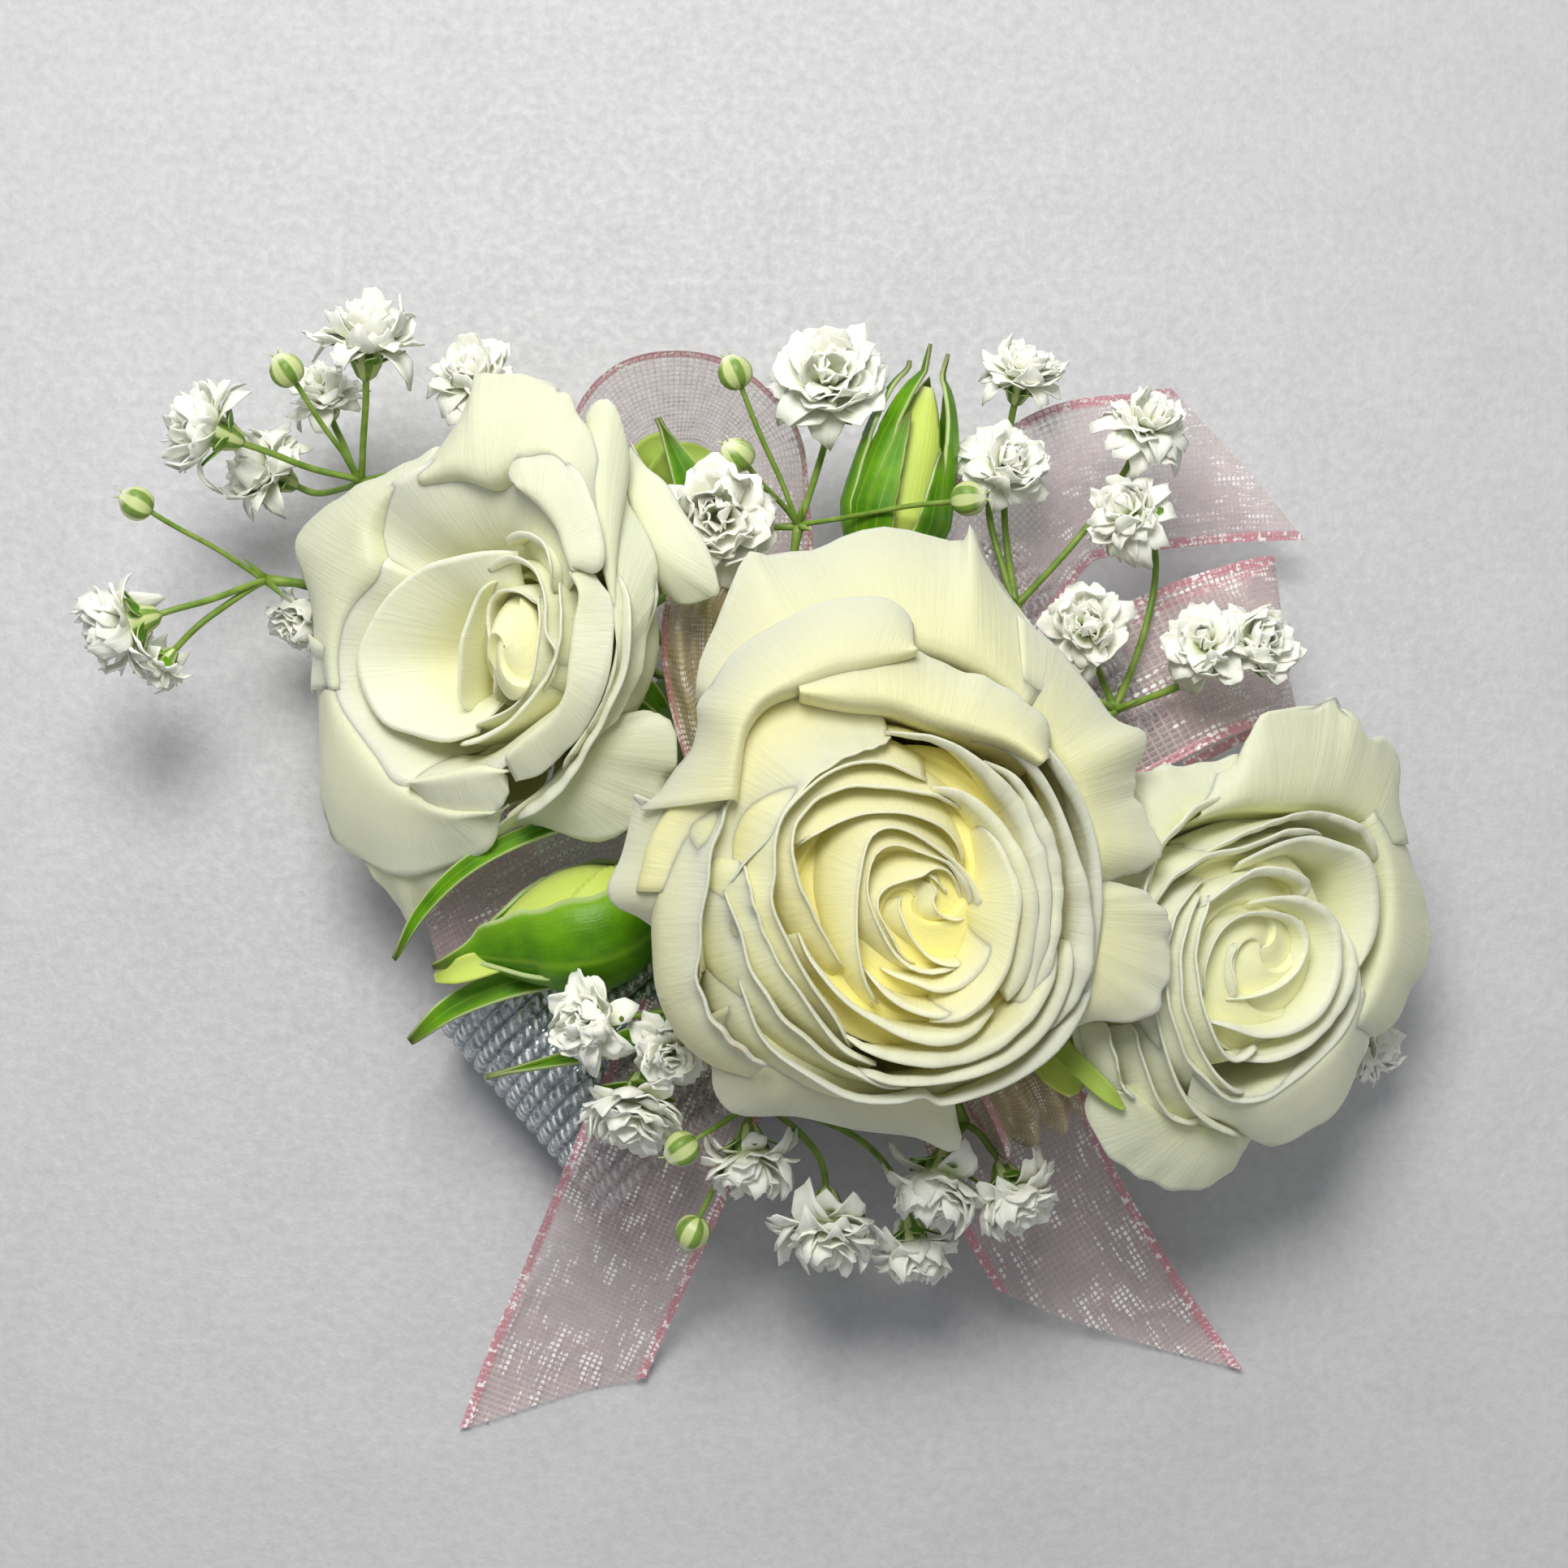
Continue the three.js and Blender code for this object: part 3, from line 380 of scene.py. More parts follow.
def stripedMaterial(look):
    # small buds and calyces: five dark green stripes on pale green, cream where the tip opens
    pen = NodePen("floretBudGreen", rough=0.4, sss=0.1, sssRadius=(0.4, 0.8, 0.2), sssScale=0.0004, spec=0.45)
    _, u, v = pen.uv()
    wave = pen.math("COSINE", pen.times(u, look["stripes"] * tau))
    stripe = pen.times(pen.ramp(wave, -0.15, 0.35), pen.ramp(v, 0.72, 0.9, 1, 0))
    cloud = pen.grain(1100)
    green = pen.mix(pen.ramp(cloud, 0.35, 0.7), look["dark"], look["mid"])
    pale = pen.mix(pen.ramp(v, 0.7, 0.95), look["pale"], look["tip"])
    body = pen.mix(pen.times(stripe, 0.9), pale, green)
    return pen.finish(body, pen.plus(pen.times(wave, 0.6), cloud), 0.25, 0.00012)


def floretMaterial(look):
    # thin white petals, pale green towards the foot and in the creases; the green at the foot is partly
    # their own and partly painted shade and glow of light through the petals
    pen = NodePen("floretWhite", rough=0.6, sss=0.15, sssRadius=(0.9, 1.0, 0.8), sssScale=0.0003, spec=0.2,
                  sheen=0.1)
    uv, _, v = pen.uv()
    # green towards the foot: partly the floret's own green, partly painted shade and glow
    body = pen.mix(pen.ramp(v, 0.05, 0.65, 0.8, 0), look["white"], look["foot"])
    body = pen.mix(pen.times(pen.ramp(pen.grain(600, 2), 0.45, 0.8), 0.2), body, look["crease"])
    return pen.finish(body, pen.noise(pen.stretch(uv, (14, 2, 1)), 2), 0.35, 0.00015)


def ribbonMaterial(name, look):
    # sheer woven ribbon: see-through ground crossed by fine threads, dense selvages, and painted
    # highlights: white glints, painted into the colour and the opacity, that sit on the thread
    # crossings inside slanting wavy streaks
    pen = NodePen(name, spec=0.5, sheen=0.3, sheenRough=0.3)
    _, u, _ = pen.uv()
    across, along = pen.attribute("acrossMm"), pen.attribute("alongMm")
    woven = pen.node("ShaderNodeCombineXYZ", X=across, Y=along).outputs[0]
    off = pen.math("ABSOLUTE", pen.math("SUBTRACT", u, 0.5))
    edge = pen.ramp(off, look["selvageFrom"], look["selvageFull"])
    waveA, waveB = (pen.math("SINE", pen.times(way, tau / look["thread"])) for way in (across, along))
    lines = pen.math("MAXIMUM", waveA, waveB)
    knots = pen.ramp(pen.math("MINIMUM", waveA, waveB), -0.6, -0.2)
    slub = pen.noise(woven, 0.4, 4, 0.6)
    patch = pen.ramp(pen.noise(pen.stretch(woven, (1.3, 0.34, 1), 0.75), 0.8, 4, 0.6), 0.5, 0.55)
    broad = pen.ramp(pen.noise(woven, 0.16, 3, 0.6), 0.46, 0.53)
    pick = pen.ramp(pen.noise(woven, 4.2, 1, 0.5), 0.3, 0.4)
    # painted highlights: white glints on the thread crossings, in wavy streaks and broad patches
    paintedGlint = pen.times(pen.times(knots, patch), pen.times(broad, pick))
    # painted highlights in patches along the selvages
    paintedEdgeGlint = pen.times(pen.times(edge, pen.ramp(pen.noise(woven, 1.2, 3, 0.7), 0.55, 0.61)), pick)
    paintedGlint = pen.plus(paintedGlint, pen.times(paintedEdgeGlint, 0.9), clamp=True)
    body = pen.mix(edge, pen.mix(pen.ramp(slub, 0.3, 0.7), look["deep"], look["body"]), look["selvage"])
    body = pen.mix(paintedGlint, body, look["paintedGlint"])
    sheer = pen.ramp(slub, 0.3, 0.7, look["clear"] - 0.06, look["clear"] + 0.06)
    sheer = pen.plus(sheer, pen.times(pen.ramp(lines, 0.5, 0.95), look["threadShare"]))
    # the painted glints also make the cloth opaque where they sit
    sheer = pen.plus(pen.plus(sheer, pen.times(edge, 0.4)), pen.times(paintedGlint, 0.8), clamp=True)
    return pen.finish(body, lines, 0.35, 0.00008, alpha=sheer, rough=pen.ramp(slub, 0.3, 0.7, 0.28, 0.42))


def bandMaterial(look):
    # silver thread: grey and bright metal grains, painted shade that darkens the valleys between the
    # cords and the inner wall, and tiny beads with painted white highlights on some of their crests,
    # picked by noise
    pen = NodePen("silverThread", spec=0.5)
    cell = pen.node("ShaderNodeTexVoronoi", Vector=pen.place(), Scale=look["grain"])
    split = pen.node("ShaderNodeSeparateColor", Color=cell.outputs["Color"])
    valley = pen.attribute("valley")
    # painted highlights: white sparkle on bead crests where the noise picks them, not in the valleys
    lit = pen.ramp(pen.grain(look["bead"], 2), 0.44, 0.5)
    paintedSparkle = pen.times(pen.ramp(pen.attribute("crest"), 0.5, 0.72), lit)
    paintedSparkle = pen.times(paintedSparkle, pen.ramp(valley, 0.3, 0.7, 1, 0))
    body = pen.mix(split.outputs[0], look["dull"], look["bright"])
    # painted shade: darker in the valleys between the cords and on the inner wall
    body = pen.mix(pen.times(valley, 0.8), body, look["shade"])
    body = pen.mix(paintedSparkle, body, look["sparkHighlight"])
    metal = pen.math("SUBTRACT", 0.75, pen.times(paintedSparkle, 0.7))
    return pen.finish(body, pen.plus(split.outputs[0], paintedSparkle), 0.6, 0.00016, metal=metal,
                      rough=pen.ramp(split.outputs[1], 0, 1, 0.14, 0.45))


def feltMaterial(look):
    # felt: short matted fibres
    pen = NodePen("padFelt", rough=0.95, sheen=0.4, sheenRough=0.6, spec=0.1)
    fibre = pen.grain(2600, 6, 0.7)
    return pen.finish(pen.mix(fibre, look["dark"], look["pale"]), fibre, 0.6, 0.0002)


def tapeMaterial(look):
    # crepe floral tape: crinkles across the wind, waxy
    pen = NodePen("stemTape", rough=0.6, spec=0.3)
    crinkle = pen.noise(pen.stretch(pen.uv()[0], (3, 90, 1)), 3, 4, 0.7)
    return pen.finish(pen.mix(crinkle, look["dark"], look["pale"]), crinkle, 0.5, 0.0002)


def floorMaterial(look):
    # pearly card: a fine pebbled grain that glints a little
    pen = NodePen("paleFloor", spec=0.35)
    grain = pen.grain(900, 4, 0.65)
    both = pen.plus(pen.times(grain, 0.7), pen.times(pen.grain(120, 3, 0.6), 0.3))
    body = pen.mix(pen.ramp(both, 0.35, 0.65), look["dark"], look["pale"])
    return pen.finish(body, grain, 0.3, 0.0004, rough=pen.ramp(grain, 0.35, 0.65, 0.62, 0.38))


# colours of each kind of petal, and how strongly its golden parts (its own colour with painted glow)
# and green parts show
petalLook = {
    "centre": {"pale": (0.625, 0.64, 0.525), "rim": (0.72, 0.725, 0.61), "youngRim": (0.95, 0.93, 0.7),
               "warm": (0.99, 0.93, 0.5), "gold": (0.985, 0.88, 0.31), "goldFloor": 0.3,
               "green": (0.66, 0.7, 0.38), "greenShare": 0.4, "vein": (0.74, 0.73, 0.5),
               "nick": (0.42, 0.24, 0.09), "tan": (0.74, 0.64, 0.42), "sss": 0.5},
    "side": {"pale": (0.74, 0.755, 0.58), "rim": (0.78, 0.79, 0.64), "youngRim": (0.93, 0.93, 0.72),
             "warm": (0.96, 0.955, 0.7), "gold": (0.95, 0.92, 0.5), "goldFloor": 0.2,
             "green": (0.62, 0.7, 0.3), "greenShare": 0.7, "vein": (0.72, 0.735, 0.5),
             "nick": (0.42, 0.24, 0.09), "tan": (0.74, 0.68, 0.44), "sss": 0.5},
    "curl": {"pale": (0.36, 0.5, 0.07), "rim": (0.6, 0.68, 0.3), "youngRim": (0.7, 0.76, 0.4),
             "warm": (0.5, 0.62, 0.14), "gold": (0.3, 0.46, 0.05), "goldFloor": 0.3,
             "green": (0.3, 0.45, 0.06), "greenShare": 0.5, "vein": (0.3, 0.44, 0.08),
             "nick": (0.42, 0.24, 0.09), "tan": (0.5, 0.5, 0.2), "sss": 0.25},
    "bud": {"pale": (0.54, 0.7, 0.08), "rim": (0.8, 0.85, 0.4), "youngRim": (0.86, 0.88, 0.5),
            "warm": (0.72, 0.81, 0.17), "gold": (0.5, 0.68, 0.1), "goldFloor": 0.1,
            "green": (0.45, 0.6, 0.2), "greenShare": 0.5, "vein": (0.55, 0.66, 0.26),
            "nick": (0.42, 0.24, 0.09), "tan": (0.7, 0.66, 0.4), "sss": 0.25},
}
greenLook = {"dark": (0.06, 0.2, 0.003), "mid": (0.145, 0.37, 0.004), "pale": (0.33, 0.54, 0.03),
             "down": (0.6, 0.7, 0.34), "edgeShare": 0.75, "tip": (0.12, 0.11, 0.03), "tipShare": 0.75}
stalkLook = {"dark": (0.13, 0.24, 0.02), "pale": (0.28, 0.4, 0.07)}
stripedLook = {"stripes": 5, "dark": (0.1, 0.22, 0.015), "mid": (0.2, 0.34, 0.03), "pale": (0.62, 0.7, 0.3),
               "tip": (0.84, 0.87, 0.62)}
# foot is the floret's own pale green with painted shade and glow added
floretLook = {"white": (0.96, 0.965, 0.86), "foot": (0.6, 0.7, 0.26), "crease": (0.84, 0.88, 0.72)}
# the thread is the weave's repeat in mm; clear and threadShare are how far the cloth hides what is
# behind it, between and on its threads; a selvage starts and is full at these shares of the width
# from the middle
# the glint colour is the white of the painted highlights
ribbonLook = {
    "pink": {"body": (0.72, 0.54, 0.53), "deep": (0.56, 0.4, 0.4), "selvage": (0.62, 0.27, 0.31),
             "selvageFrom": 0.432, "selvageFull": 0.45, "thread": 0.56, "threadShare": 0.24, "clear": 0.34,
             "paintedGlint": (1.0, 0.98, 0.97)},
    "champagne": {"body": (0.72, 0.6, 0.38), "deep": (0.46, 0.36, 0.2), "selvage": (0.6, 0.29, 0.3),
                  "selvageFrom": 0.42, "selvageFull": 0.445, "thread": 0.42, "threadShare": 0.3,
                  "clear": 0.62, "paintedGlint": (1.0, 0.98, 0.97)},
}
# the white is painted on the bead crests as highlights; shade is painted shade for the valleys
bandLook = {"bright": (0.82, 0.87, 0.9), "dull": (0.32, 0.37, 0.4), "shade": (0.08, 0.09, 0.1),
            "sparkHighlight": (1.0, 1.0, 1.0), "grain": 1700, "bead": 520}
feltLook = {"dark": (0.62, 0.52, 0.53), "pale": (0.84, 0.76, 0.76)}
tapeLook = {"dark": (0.09, 0.2, 0.05), "pale": (0.2, 0.36, 0.12)}
floorLook = {"dark": (0.525, 0.522, 0.535), "pale": (0.605, 0.602, 0.615)}

petalCentre = petalMaterial("petalWarmCream", petalLook["centre"])
petalSide = petalMaterial("petalCream", petalLook["side"])
petalBud = petalMaterial("petalLime", petalLook["bud"])
petalCurl = petalMaterial("petalLeafy", petalLook["curl"])
sepalGreen = greenMaterial("sepalGreen", greenLook)
stalkGreen = stalkMaterial(stalkLook)
budGreen = stripedMaterial(stripedLook)
floretWhite = floretMaterial(floretLook)
organza = ribbonMaterial("organzaPink", ribbonLook["pink"])
champagne = ribbonMaterial("organzaChampagne", ribbonLook["champagne"])
silver = bandMaterial(bandLook)
felt = feltMaterial(feltLook)
tape = tapeMaterial(tapeLook)
floorCard = floorMaterial(floorLook)
print("stage: materials made")


# roses

hip = {"radius": 4.6, "height": 5, "gap": 0.3, "steps": 14, "sides": 14}
calyx = {"sepals": 5, "first": 30, "foot": 2.6, "reach": 9.5, "half": 1.7, "drop": 3.4, "thick": 0.35}
rootHeight = hip["height"] + hip["gap"]
petalMesh = {"alongEdge": 40, "upSheet": 24, "roundLip": 8, "thick": 0.22}
# turn: radians the edge rolls over; wave: height of its waves. A cup petal drops so far from its
# edge to its shoulder, less when it leans; from openAge on its lip is wider. A guard petal arches
cupShape = {"turn": 1.5, "wave": 0.1, "drop": 4.2, "lessDrop": 0.5, "openAge": 0.2, "openLip": 1.35}
guardShape = {"turn": 0.9, "wave": 0.45, "arch": 0.07, "lip": 0.5}
heartMesh = {"around": 144, "dome": 30, "below": 12, "fall": 1.8, "rise": 0.88}


def petalGrid(petal, rose, seed):
    # a petal from its edge. The edge runs through plan points with heights z; the sheet rises from
    # the hip past a belly and a shoulder to that edge (a cup petal), or past a crest line and out
    # and down to it (a guard petal), as one curve through those lines; last the edge rolls over:
    # edge + q (T sin a + N (1 - cos a)), q the lip width over its whole turn
    rim = withZero(petal["rim"])
    cols = (len(rim) - 1) * max(2, round(petalMesh["alongEdge"] / (len(rim) - 1))) + 1
    s = np.linspace(0, 1, cols)
    side = 2 * s - 1
    edge = throughPoints(rim, s)
    edge[:, 2] = heightsOf(petal["z"], cols) + 0.14 * np.sin(13 * s + seed)
    eye = np.array([*petal.get("eye", rose["eye"]), 0])
    out = unit((edge - eye) * (1, 1, 0))
    foot = unit(0.5 * out + 0.5 * out[cols // 2]) * 2.6 + [0, 0, rootHeight + 0.6]
    swell = 1 + 0.3 * np.sin(9 * s + 2 * seed) * petal["lip"] / 1.5
    lip = petal["lip"] * (0.4 + 0.6 * (1 - side**6)) * swell
    if "crest" in petal:
        crest = throughPoints(withZero(petal["crest"]), s)
        crest[:, 2] = heightsOf(petal["crestZ"], cols)
        low = crest * (0.8, 0.8, 0) + [0, 0, rootHeight + 2.0]
        belly = crest * (0.93, 0.93, 0.6) + [0, 0, 0.4 * rootHeight]
        face = 0.5 * (crest + edge)
        face[:, 2] += guardShape["arch"] * np.linalg.norm(edge - crest, axis=1)
        lines = [foot, low, belly, crest, face, edge]
        shape, toward = guardShape, np.array([0, 0, -1.0])
    else:
        # the lip's crown, not the line it turns from, lies at the given height
        lip = lip * (cupShape["openLip"] if petal["age"] >= cupShape["openAge"] else 1)
        edge[:, 2] -= 1.4 * np.abs(side) ** 8 + 0.75 * lip + 0.3
        away = (petal["lean"] + out[:, :2] @ np.array(rose["sway"]))[:, None]
        drop = cupShape["drop"] - cupShape["lessDrop"] * np.minimum(np.abs(away), 3) + petal.get("dip", 0)
        shoulder = edge + out * away - drop * [0, 0, 1]
        bend = edge + out * away * 0.55 - 0.38 * drop * [0, 0, 1]
        belly = edge + out * np.where(away > 0, 0.75 * away + 0.6, 1.06 * away - 0.3)
        belly[:, 2] = rootHeight + 0.42 * (edge[:, 2] - rootHeight)
        low = belly * (0.72, 0.72, 0) + [0, 0, rootHeight + 1.4]
        lines = [foot, low, belly, shoulder, bend, edge]
        shape, toward = cupShape, out
    t = np.linspace(0, 1, petalMesh["upSheet"]) ** 0.85
    sheet = throughPoints(np.array(lines), t)
    ahead = unit(sheet[-1] - sheet[-2])
    curl = unit(toward - (toward * ahead).sum(-1, keepdims=True) * ahead)
    share = np.linspace(0, 1, petalMesh["roundLip"])[1:]
    angle = shape["turn"] * share[:, None, None]
    q = (lip / shape["turn"])[None, :, None]
    sheet = np.concatenate([sheet, sheet[-1] + q * (np.sin(angle) * ahead + (1 - np.cos(angle)) * curl)])
    v = np.concatenate([0.93 * t, 0.93 + 0.07 * share])[:, None]
    normal = unit(np.cross(unit(np.gradient(sheet, axis=1)), unit(np.gradient(sheet, axis=0))))
    ripple = shape["wave"] * v**3 * (np.sin(7.5 * s + 3 * v + seed) + 0.5 * np.sin(15 * s - 5 * v + 3 * seed))
    if "crest" in petal:
        # fine folds that run towards the edge
        ripple = ripple + 0.1 * np.maximum(0, v - 0.5) * np.sin(31 * s + 6 * np.sin(2.3 * s + seed) + 2 * v)
    crumple = 0.2 * np.sin(38 * s + 9 * np.sin(3 * s + seed))
    crumple = crumple + 0.26 * np.sin(15 * s + 5 * np.sin(4 * s + 2 * seed))
    # a narrow petal has its waves closer together, so they are made lower
    calm = min(1, np.linalg.norm(np.diff(edge, axis=0), axis=1).sum() / 28) ** 1.5
    sheet = sheet + normal * (calm * (ripple + petal["age"] * v**7 * crumple))[..., None]
    return sheet, np.stack(np.broadcast_arrays(s[None, :], v), -1)


def cup(rim, z, lean, lip, age, **more):
    # an upright petal: its rim as x and y in turn and the rim's heights; how far its middle leans
    # out (or in, below 0), the width of its lip and its age, 0 the youngest. It may have an eye of
    # its own, and a dip that lowers its shoulder
    return dict(rim=rim, z=z, lean=lean, lip=lip, age=age, **more)


def guard(rim, z, crest, crestZ, age):
    # an outer petal that folds back over a crest line, given like its rim
    return dict(rim=rim, z=z, crest=crest, crestZ=crestZ, age=age, lip=guardShape["lip"])


def inAxes(petal):
    # a petal whose lines are given in mm about the rose's axis
    return dict(petal, inAxes=True)


def readPetal(petal, stand):
    # the petal with its lines brought from pixels into the rose's axes
    if "inAxes" in petal:
        return petal
    lines = {"rim": sighted(petal["rim"], petal["z"], stand)}
    if "crest" in petal:
        lines["crest"] = sighted(petal["crest"], petal["crestZ"], stand)
    if "eye" in petal:
        count = len(petal["rim"]) // 2
        middle = heightsOf(petal["z"], count)[count // 2].round(1)
        lines["eye"] = sighted(petal["eye"], [middle], stand)
    return dict(petal, **lines)


# petal edges as the camera sees them, x and y in turn in pixels, with heights in mm above the
# rose's base; from the heart outwards
centrePetals = [
    cup([1146, 1086, 1152, 1096, 1150, 1110, 1157, 1124, 1172, 1132, 1192, 1131], [20.5, 21, 20.5], 1.2,
        0.3, 0, eye=(1172, 1104)),
    cup([1144, 1075, 1152, 1083, 1160, 1092, 1168, 1099], [21, 20.5], 0.8, 0.25, 0, eye=(1148, 1104)),
    cup([1113, 1100, 1108, 1115, 1112, 1132, 1121, 1150, 1133, 1165, 1150, 1180, 1175, 1188, 1200, 1180],
        [20.5, 21, 21, 20.5], 0.8, 0.4, 0.05),
    cup([1188, 1112, 1180, 1090, 1168, 1072, 1152, 1068, 1135, 1076, 1110, 1083, 1090, 1092, 1081, 1106,
        1081, 1122, 1090, 1140, 1102, 1158, 1112, 1176, 1130, 1188], [20.5, 21.5, 21.5, 21], 1, 0.5, 0.08),
    cup([1200, 1120, 1196, 1103, 1185, 1085, 1170, 1062, 1150, 1052, 1130, 1047, 1110, 1040, 1092, 1041,
        1078, 1053, 1069, 1075, 1068, 1100, 1077, 1128, 1089, 1150, 1104, 1174, 1123, 1190, 1150, 1198,
        1180, 1192], [21, 22, 22, 21.5], 0.9, 0.6, 0.1),
    cup([1208, 1134, 1206, 1112, 1195, 1086, 1174, 1058, 1150, 1040, 1125, 1026, 1105, 1018, 1090, 1018,
        1073, 1028, 1061, 1050, 1056, 1075, 1053, 1100, 1053, 1130, 1055, 1160, 1060, 1190, 1069, 1215,
        1083, 1238], [21.5, 22.5, 22.8, 22], 0.9, 0.8, 0.15),
    cup([1088, 1192, 1110, 1200, 1130, 1208, 1155, 1216, 1182, 1210, 1207, 1188, 1222, 1160, 1230, 1130],
        [21, 21.8, 22], -0.3, 0.6, 0.1),
    cup([1066, 1190, 1080, 1208, 1100, 1226, 1125, 1240, 1160, 1248, 1197, 1240, 1227, 1212, 1245, 1170],
        [21.5, 22, 22, 22], -0.3, 0.6, 0.15),
    cup([983, 1042, 1005, 1027, 1030, 1012, 1060, 1001, 1090, 998, 1120, 1000, 1150, 1010, 1167, 1022,
        1180, 1042, 1189, 1065], [22.5, 22.8, 22.5, 21.5], 1.2, 0.5, 0.18),
    cup([1208, 1015, 1227, 1040, 1243, 1075, 1251, 1110, 1249, 1150, 1238, 1192, 1217, 1226, 1187, 1250,
        1150, 1256], [22.5, 23, 22.5], -1.5, 0.45, 0.2),
    cup([1190, 996, 1165, 985, 1150, 978, 1120, 972, 1080, 966, 1040, 965, 1005, 978, 980, 1000, 968, 1025,
        972, 1060, 985, 1095, 1000, 1125, 1018, 1155, 1042, 1192], [22.5, 23.2, 23.2, 22.2], 0.8, 1.1,
        0.25),
    cup([1150, 972, 1177, 983, 1204, 1001, 1232, 1030, 1255, 1065, 1266, 1105, 1266, 1150, 1257, 1192,
        1242, 1228], [23.2, 23.2, 22.5], -1.2, 0.9, 0.3),
    cup([1145, 958, 1120, 946, 1090, 936, 1050, 936, 1015, 948, 985, 973, 960, 1003, 950, 1040, 948, 1075,
        945, 1105, 955, 1140, 975, 1180, 1000, 1215, 1030, 1252, 1050, 1290], [23, 23.5, 23.3, 21.5], 0.8,
        1.2, 0.35),
    cup([885, 1100, 905, 1050, 940, 1008, 975, 972, 1010, 940, 1045, 915, 1075, 902, 1098, 900], [21, 22.5,
        23.3, 23.4, 23], 4.6, 1.7, 0.5),
    cup([1093, 903, 1130, 908, 1165, 920, 1200, 945, 1228, 978, 1252, 1012, 1269, 1052, 1279, 1100,
        1279, 1150, 1270, 1205, 1258, 1248], [23.2, 23.3, 23, 22], -0.5, 1.3, 0.45),
    cup([912, 1060, 918, 1100, 932, 1140, 952, 1180, 982, 1222, 1012, 1258, 1045, 1292, 1080, 1312], [22,
        22, 21.5], 1.2, 1, 0.5),
    cup([892, 1092, 897, 1125, 907, 1160, 927, 1205, 957, 1247, 992, 1282, 1032, 1308, 1075, 1328,
        1120, 1337], [21, 21, 20.5], 1.2, 1.3, 0.6),
    cup([985, 1150, 1000, 1180, 1020, 1205, 1045, 1230, 1085, 1255, 1125, 1270, 1165, 1274, 1197, 1265,
        1227, 1242], [22.3, 22.3], 0, 0.8, 0.3),
    cup([1040, 1270, 1065, 1286, 1100, 1296, 1150, 1299, 1200, 1292, 1242, 1271, 1271, 1240, 1290, 1200,
        1298, 1150], [22, 22], 0.2, 0.9, 0.4),
    cup([1060, 1318, 1100, 1327, 1150, 1327, 1200, 1316, 1247, 1292, 1283, 1256, 1307, 1210, 1317, 1160],
        [21.3, 21.3], 0.6, 0.9, 0.5),
    cup([903, 1180, 912, 1225, 930, 1265, 965, 1300, 1010, 1328, 1060, 1347, 1110, 1350, 1140, 1343,
        1160, 1353, 1200, 1342, 1248, 1320, 1293, 1282, 1326, 1235, 1341, 1190], [19.5, 19.5], 1.2, 1.1,
        0.75),
    cup([1257, 1252, 1281, 1205, 1295, 1155, 1299, 1105, 1291, 1055, 1273, 1005, 1248, 963, 1215, 938],
        [21.5, 22.8, 23], -0.4, 0.8, 0.5),
    cup([1292, 1264, 1315, 1220, 1325, 1165, 1325, 1110, 1316, 1055, 1298, 1000, 1272, 953, 1237, 923,
        1200, 910], [20.5, 22, 22.8], 0.8, 1.3, 0.6),
    cup([1327, 1237, 1341, 1180, 1347, 1115, 1342, 1055, 1326, 1000, 1305, 952, 1278, 915, 1242, 888,
        1190, 868], [19.5, 21, 22], 1.1, 1.1, 0.75),
    cup([905, 972, 882, 1005, 868, 1050, 860, 1100, 855, 1160, 856, 1215, 875, 1262, 905, 1292, 945, 1315],
        [21.5, 21, 20, 19.5], 1.1, 1.5, 0.8),
    guard([985, 846, 1020, 825, 1060, 808, 1105, 798, 1160, 812, 1210, 838, 1255, 870, 1288, 905,
          1290, 935], [22.8, 21.5, 21.5, 21], [985, 852, 1040, 862, 1100, 868, 1150, 885, 1200, 900,
          1250, 915, 1286, 938], [23.4, 23.4], 0.6),
    guard([795, 1000, 830, 945, 855, 905, 858, 870, 885, 835, 930, 790, 1000, 752, 1060, 745, 1098, 748,
          1125, 768, 1131, 795], [15, 17, 19, 20.5, 21.5, 22.4], [900, 985, 906, 940, 915, 895, 940, 862,
          980, 843, 1020, 828, 1060, 820, 1100, 810, 1131, 800], [22, 23.2, 23.2], 0.8),
    guard([858, 860, 862, 815, 880, 770, 900, 725, 925, 683, 945, 693, 975, 694, 1005, 688, 1040, 668,
          1090, 656, 1150, 660, 1188, 663, 1195, 647, 1212, 675, 1240, 722, 1270, 775, 1305, 820], [17,
          17.5, 16, 15, 15, 15.5, 17], [905, 870, 950, 835, 1000, 812, 1060, 800, 1120, 795, 1180, 810,
          1230, 840, 1265, 875], [20.3, 20.6, 20.3], 0.9),
    guard([1255, 760, 1290, 800, 1330, 850, 1365, 888, 1408, 905, 1398, 950, 1395, 975, 1410, 1000,
          1425, 1055, 1390, 1067, 1345, 1085], [17.5, 16.5, 16, 16, 16.5, 17], [1262, 880, 1287, 905,
          1307, 935, 1325, 970, 1338, 1010, 1345, 1050, 1348, 1084], [19.8, 19.5, 18.8], 0.9),
    guard([1340, 1092, 1400, 1098, 1430, 1120, 1443, 1150, 1440, 1190, 1425, 1225, 1400, 1250, 1350, 1256,
          1310, 1262], [17.3, 17, 16.5], [1344, 1094, 1347, 1120, 1347, 1160, 1342, 1200, 1327, 1245],
          [18.2, 17.8], 1),
    guard([1265, 1330, 1215, 1345, 1180, 1350, 1178, 1411, 1130, 1399, 1060, 1388, 980, 1368, 905, 1366,
          881, 1342, 873, 1305, 850, 1262], [13, 11.5, 11, 11, 13], [1258, 1302, 1200, 1327, 1150, 1338,
          1100, 1338, 1040, 1323, 980, 1298, 930, 1267, 900, 1237], [17, 16.5, 17], 0.95),
    guard([850, 1225, 845, 1180, 838, 1155, 800, 1130, 762, 1105, 765, 1060, 778, 1005, 783, 976, 797, 992,
          825, 960, 850, 925], [13.5, 12.5, 12, 13, 15.5], [863, 1200, 862, 1150, 864, 1100, 872, 1050,
          886, 1005, 903, 967], [18.3, 18.8, 19.8], 0.95),
]
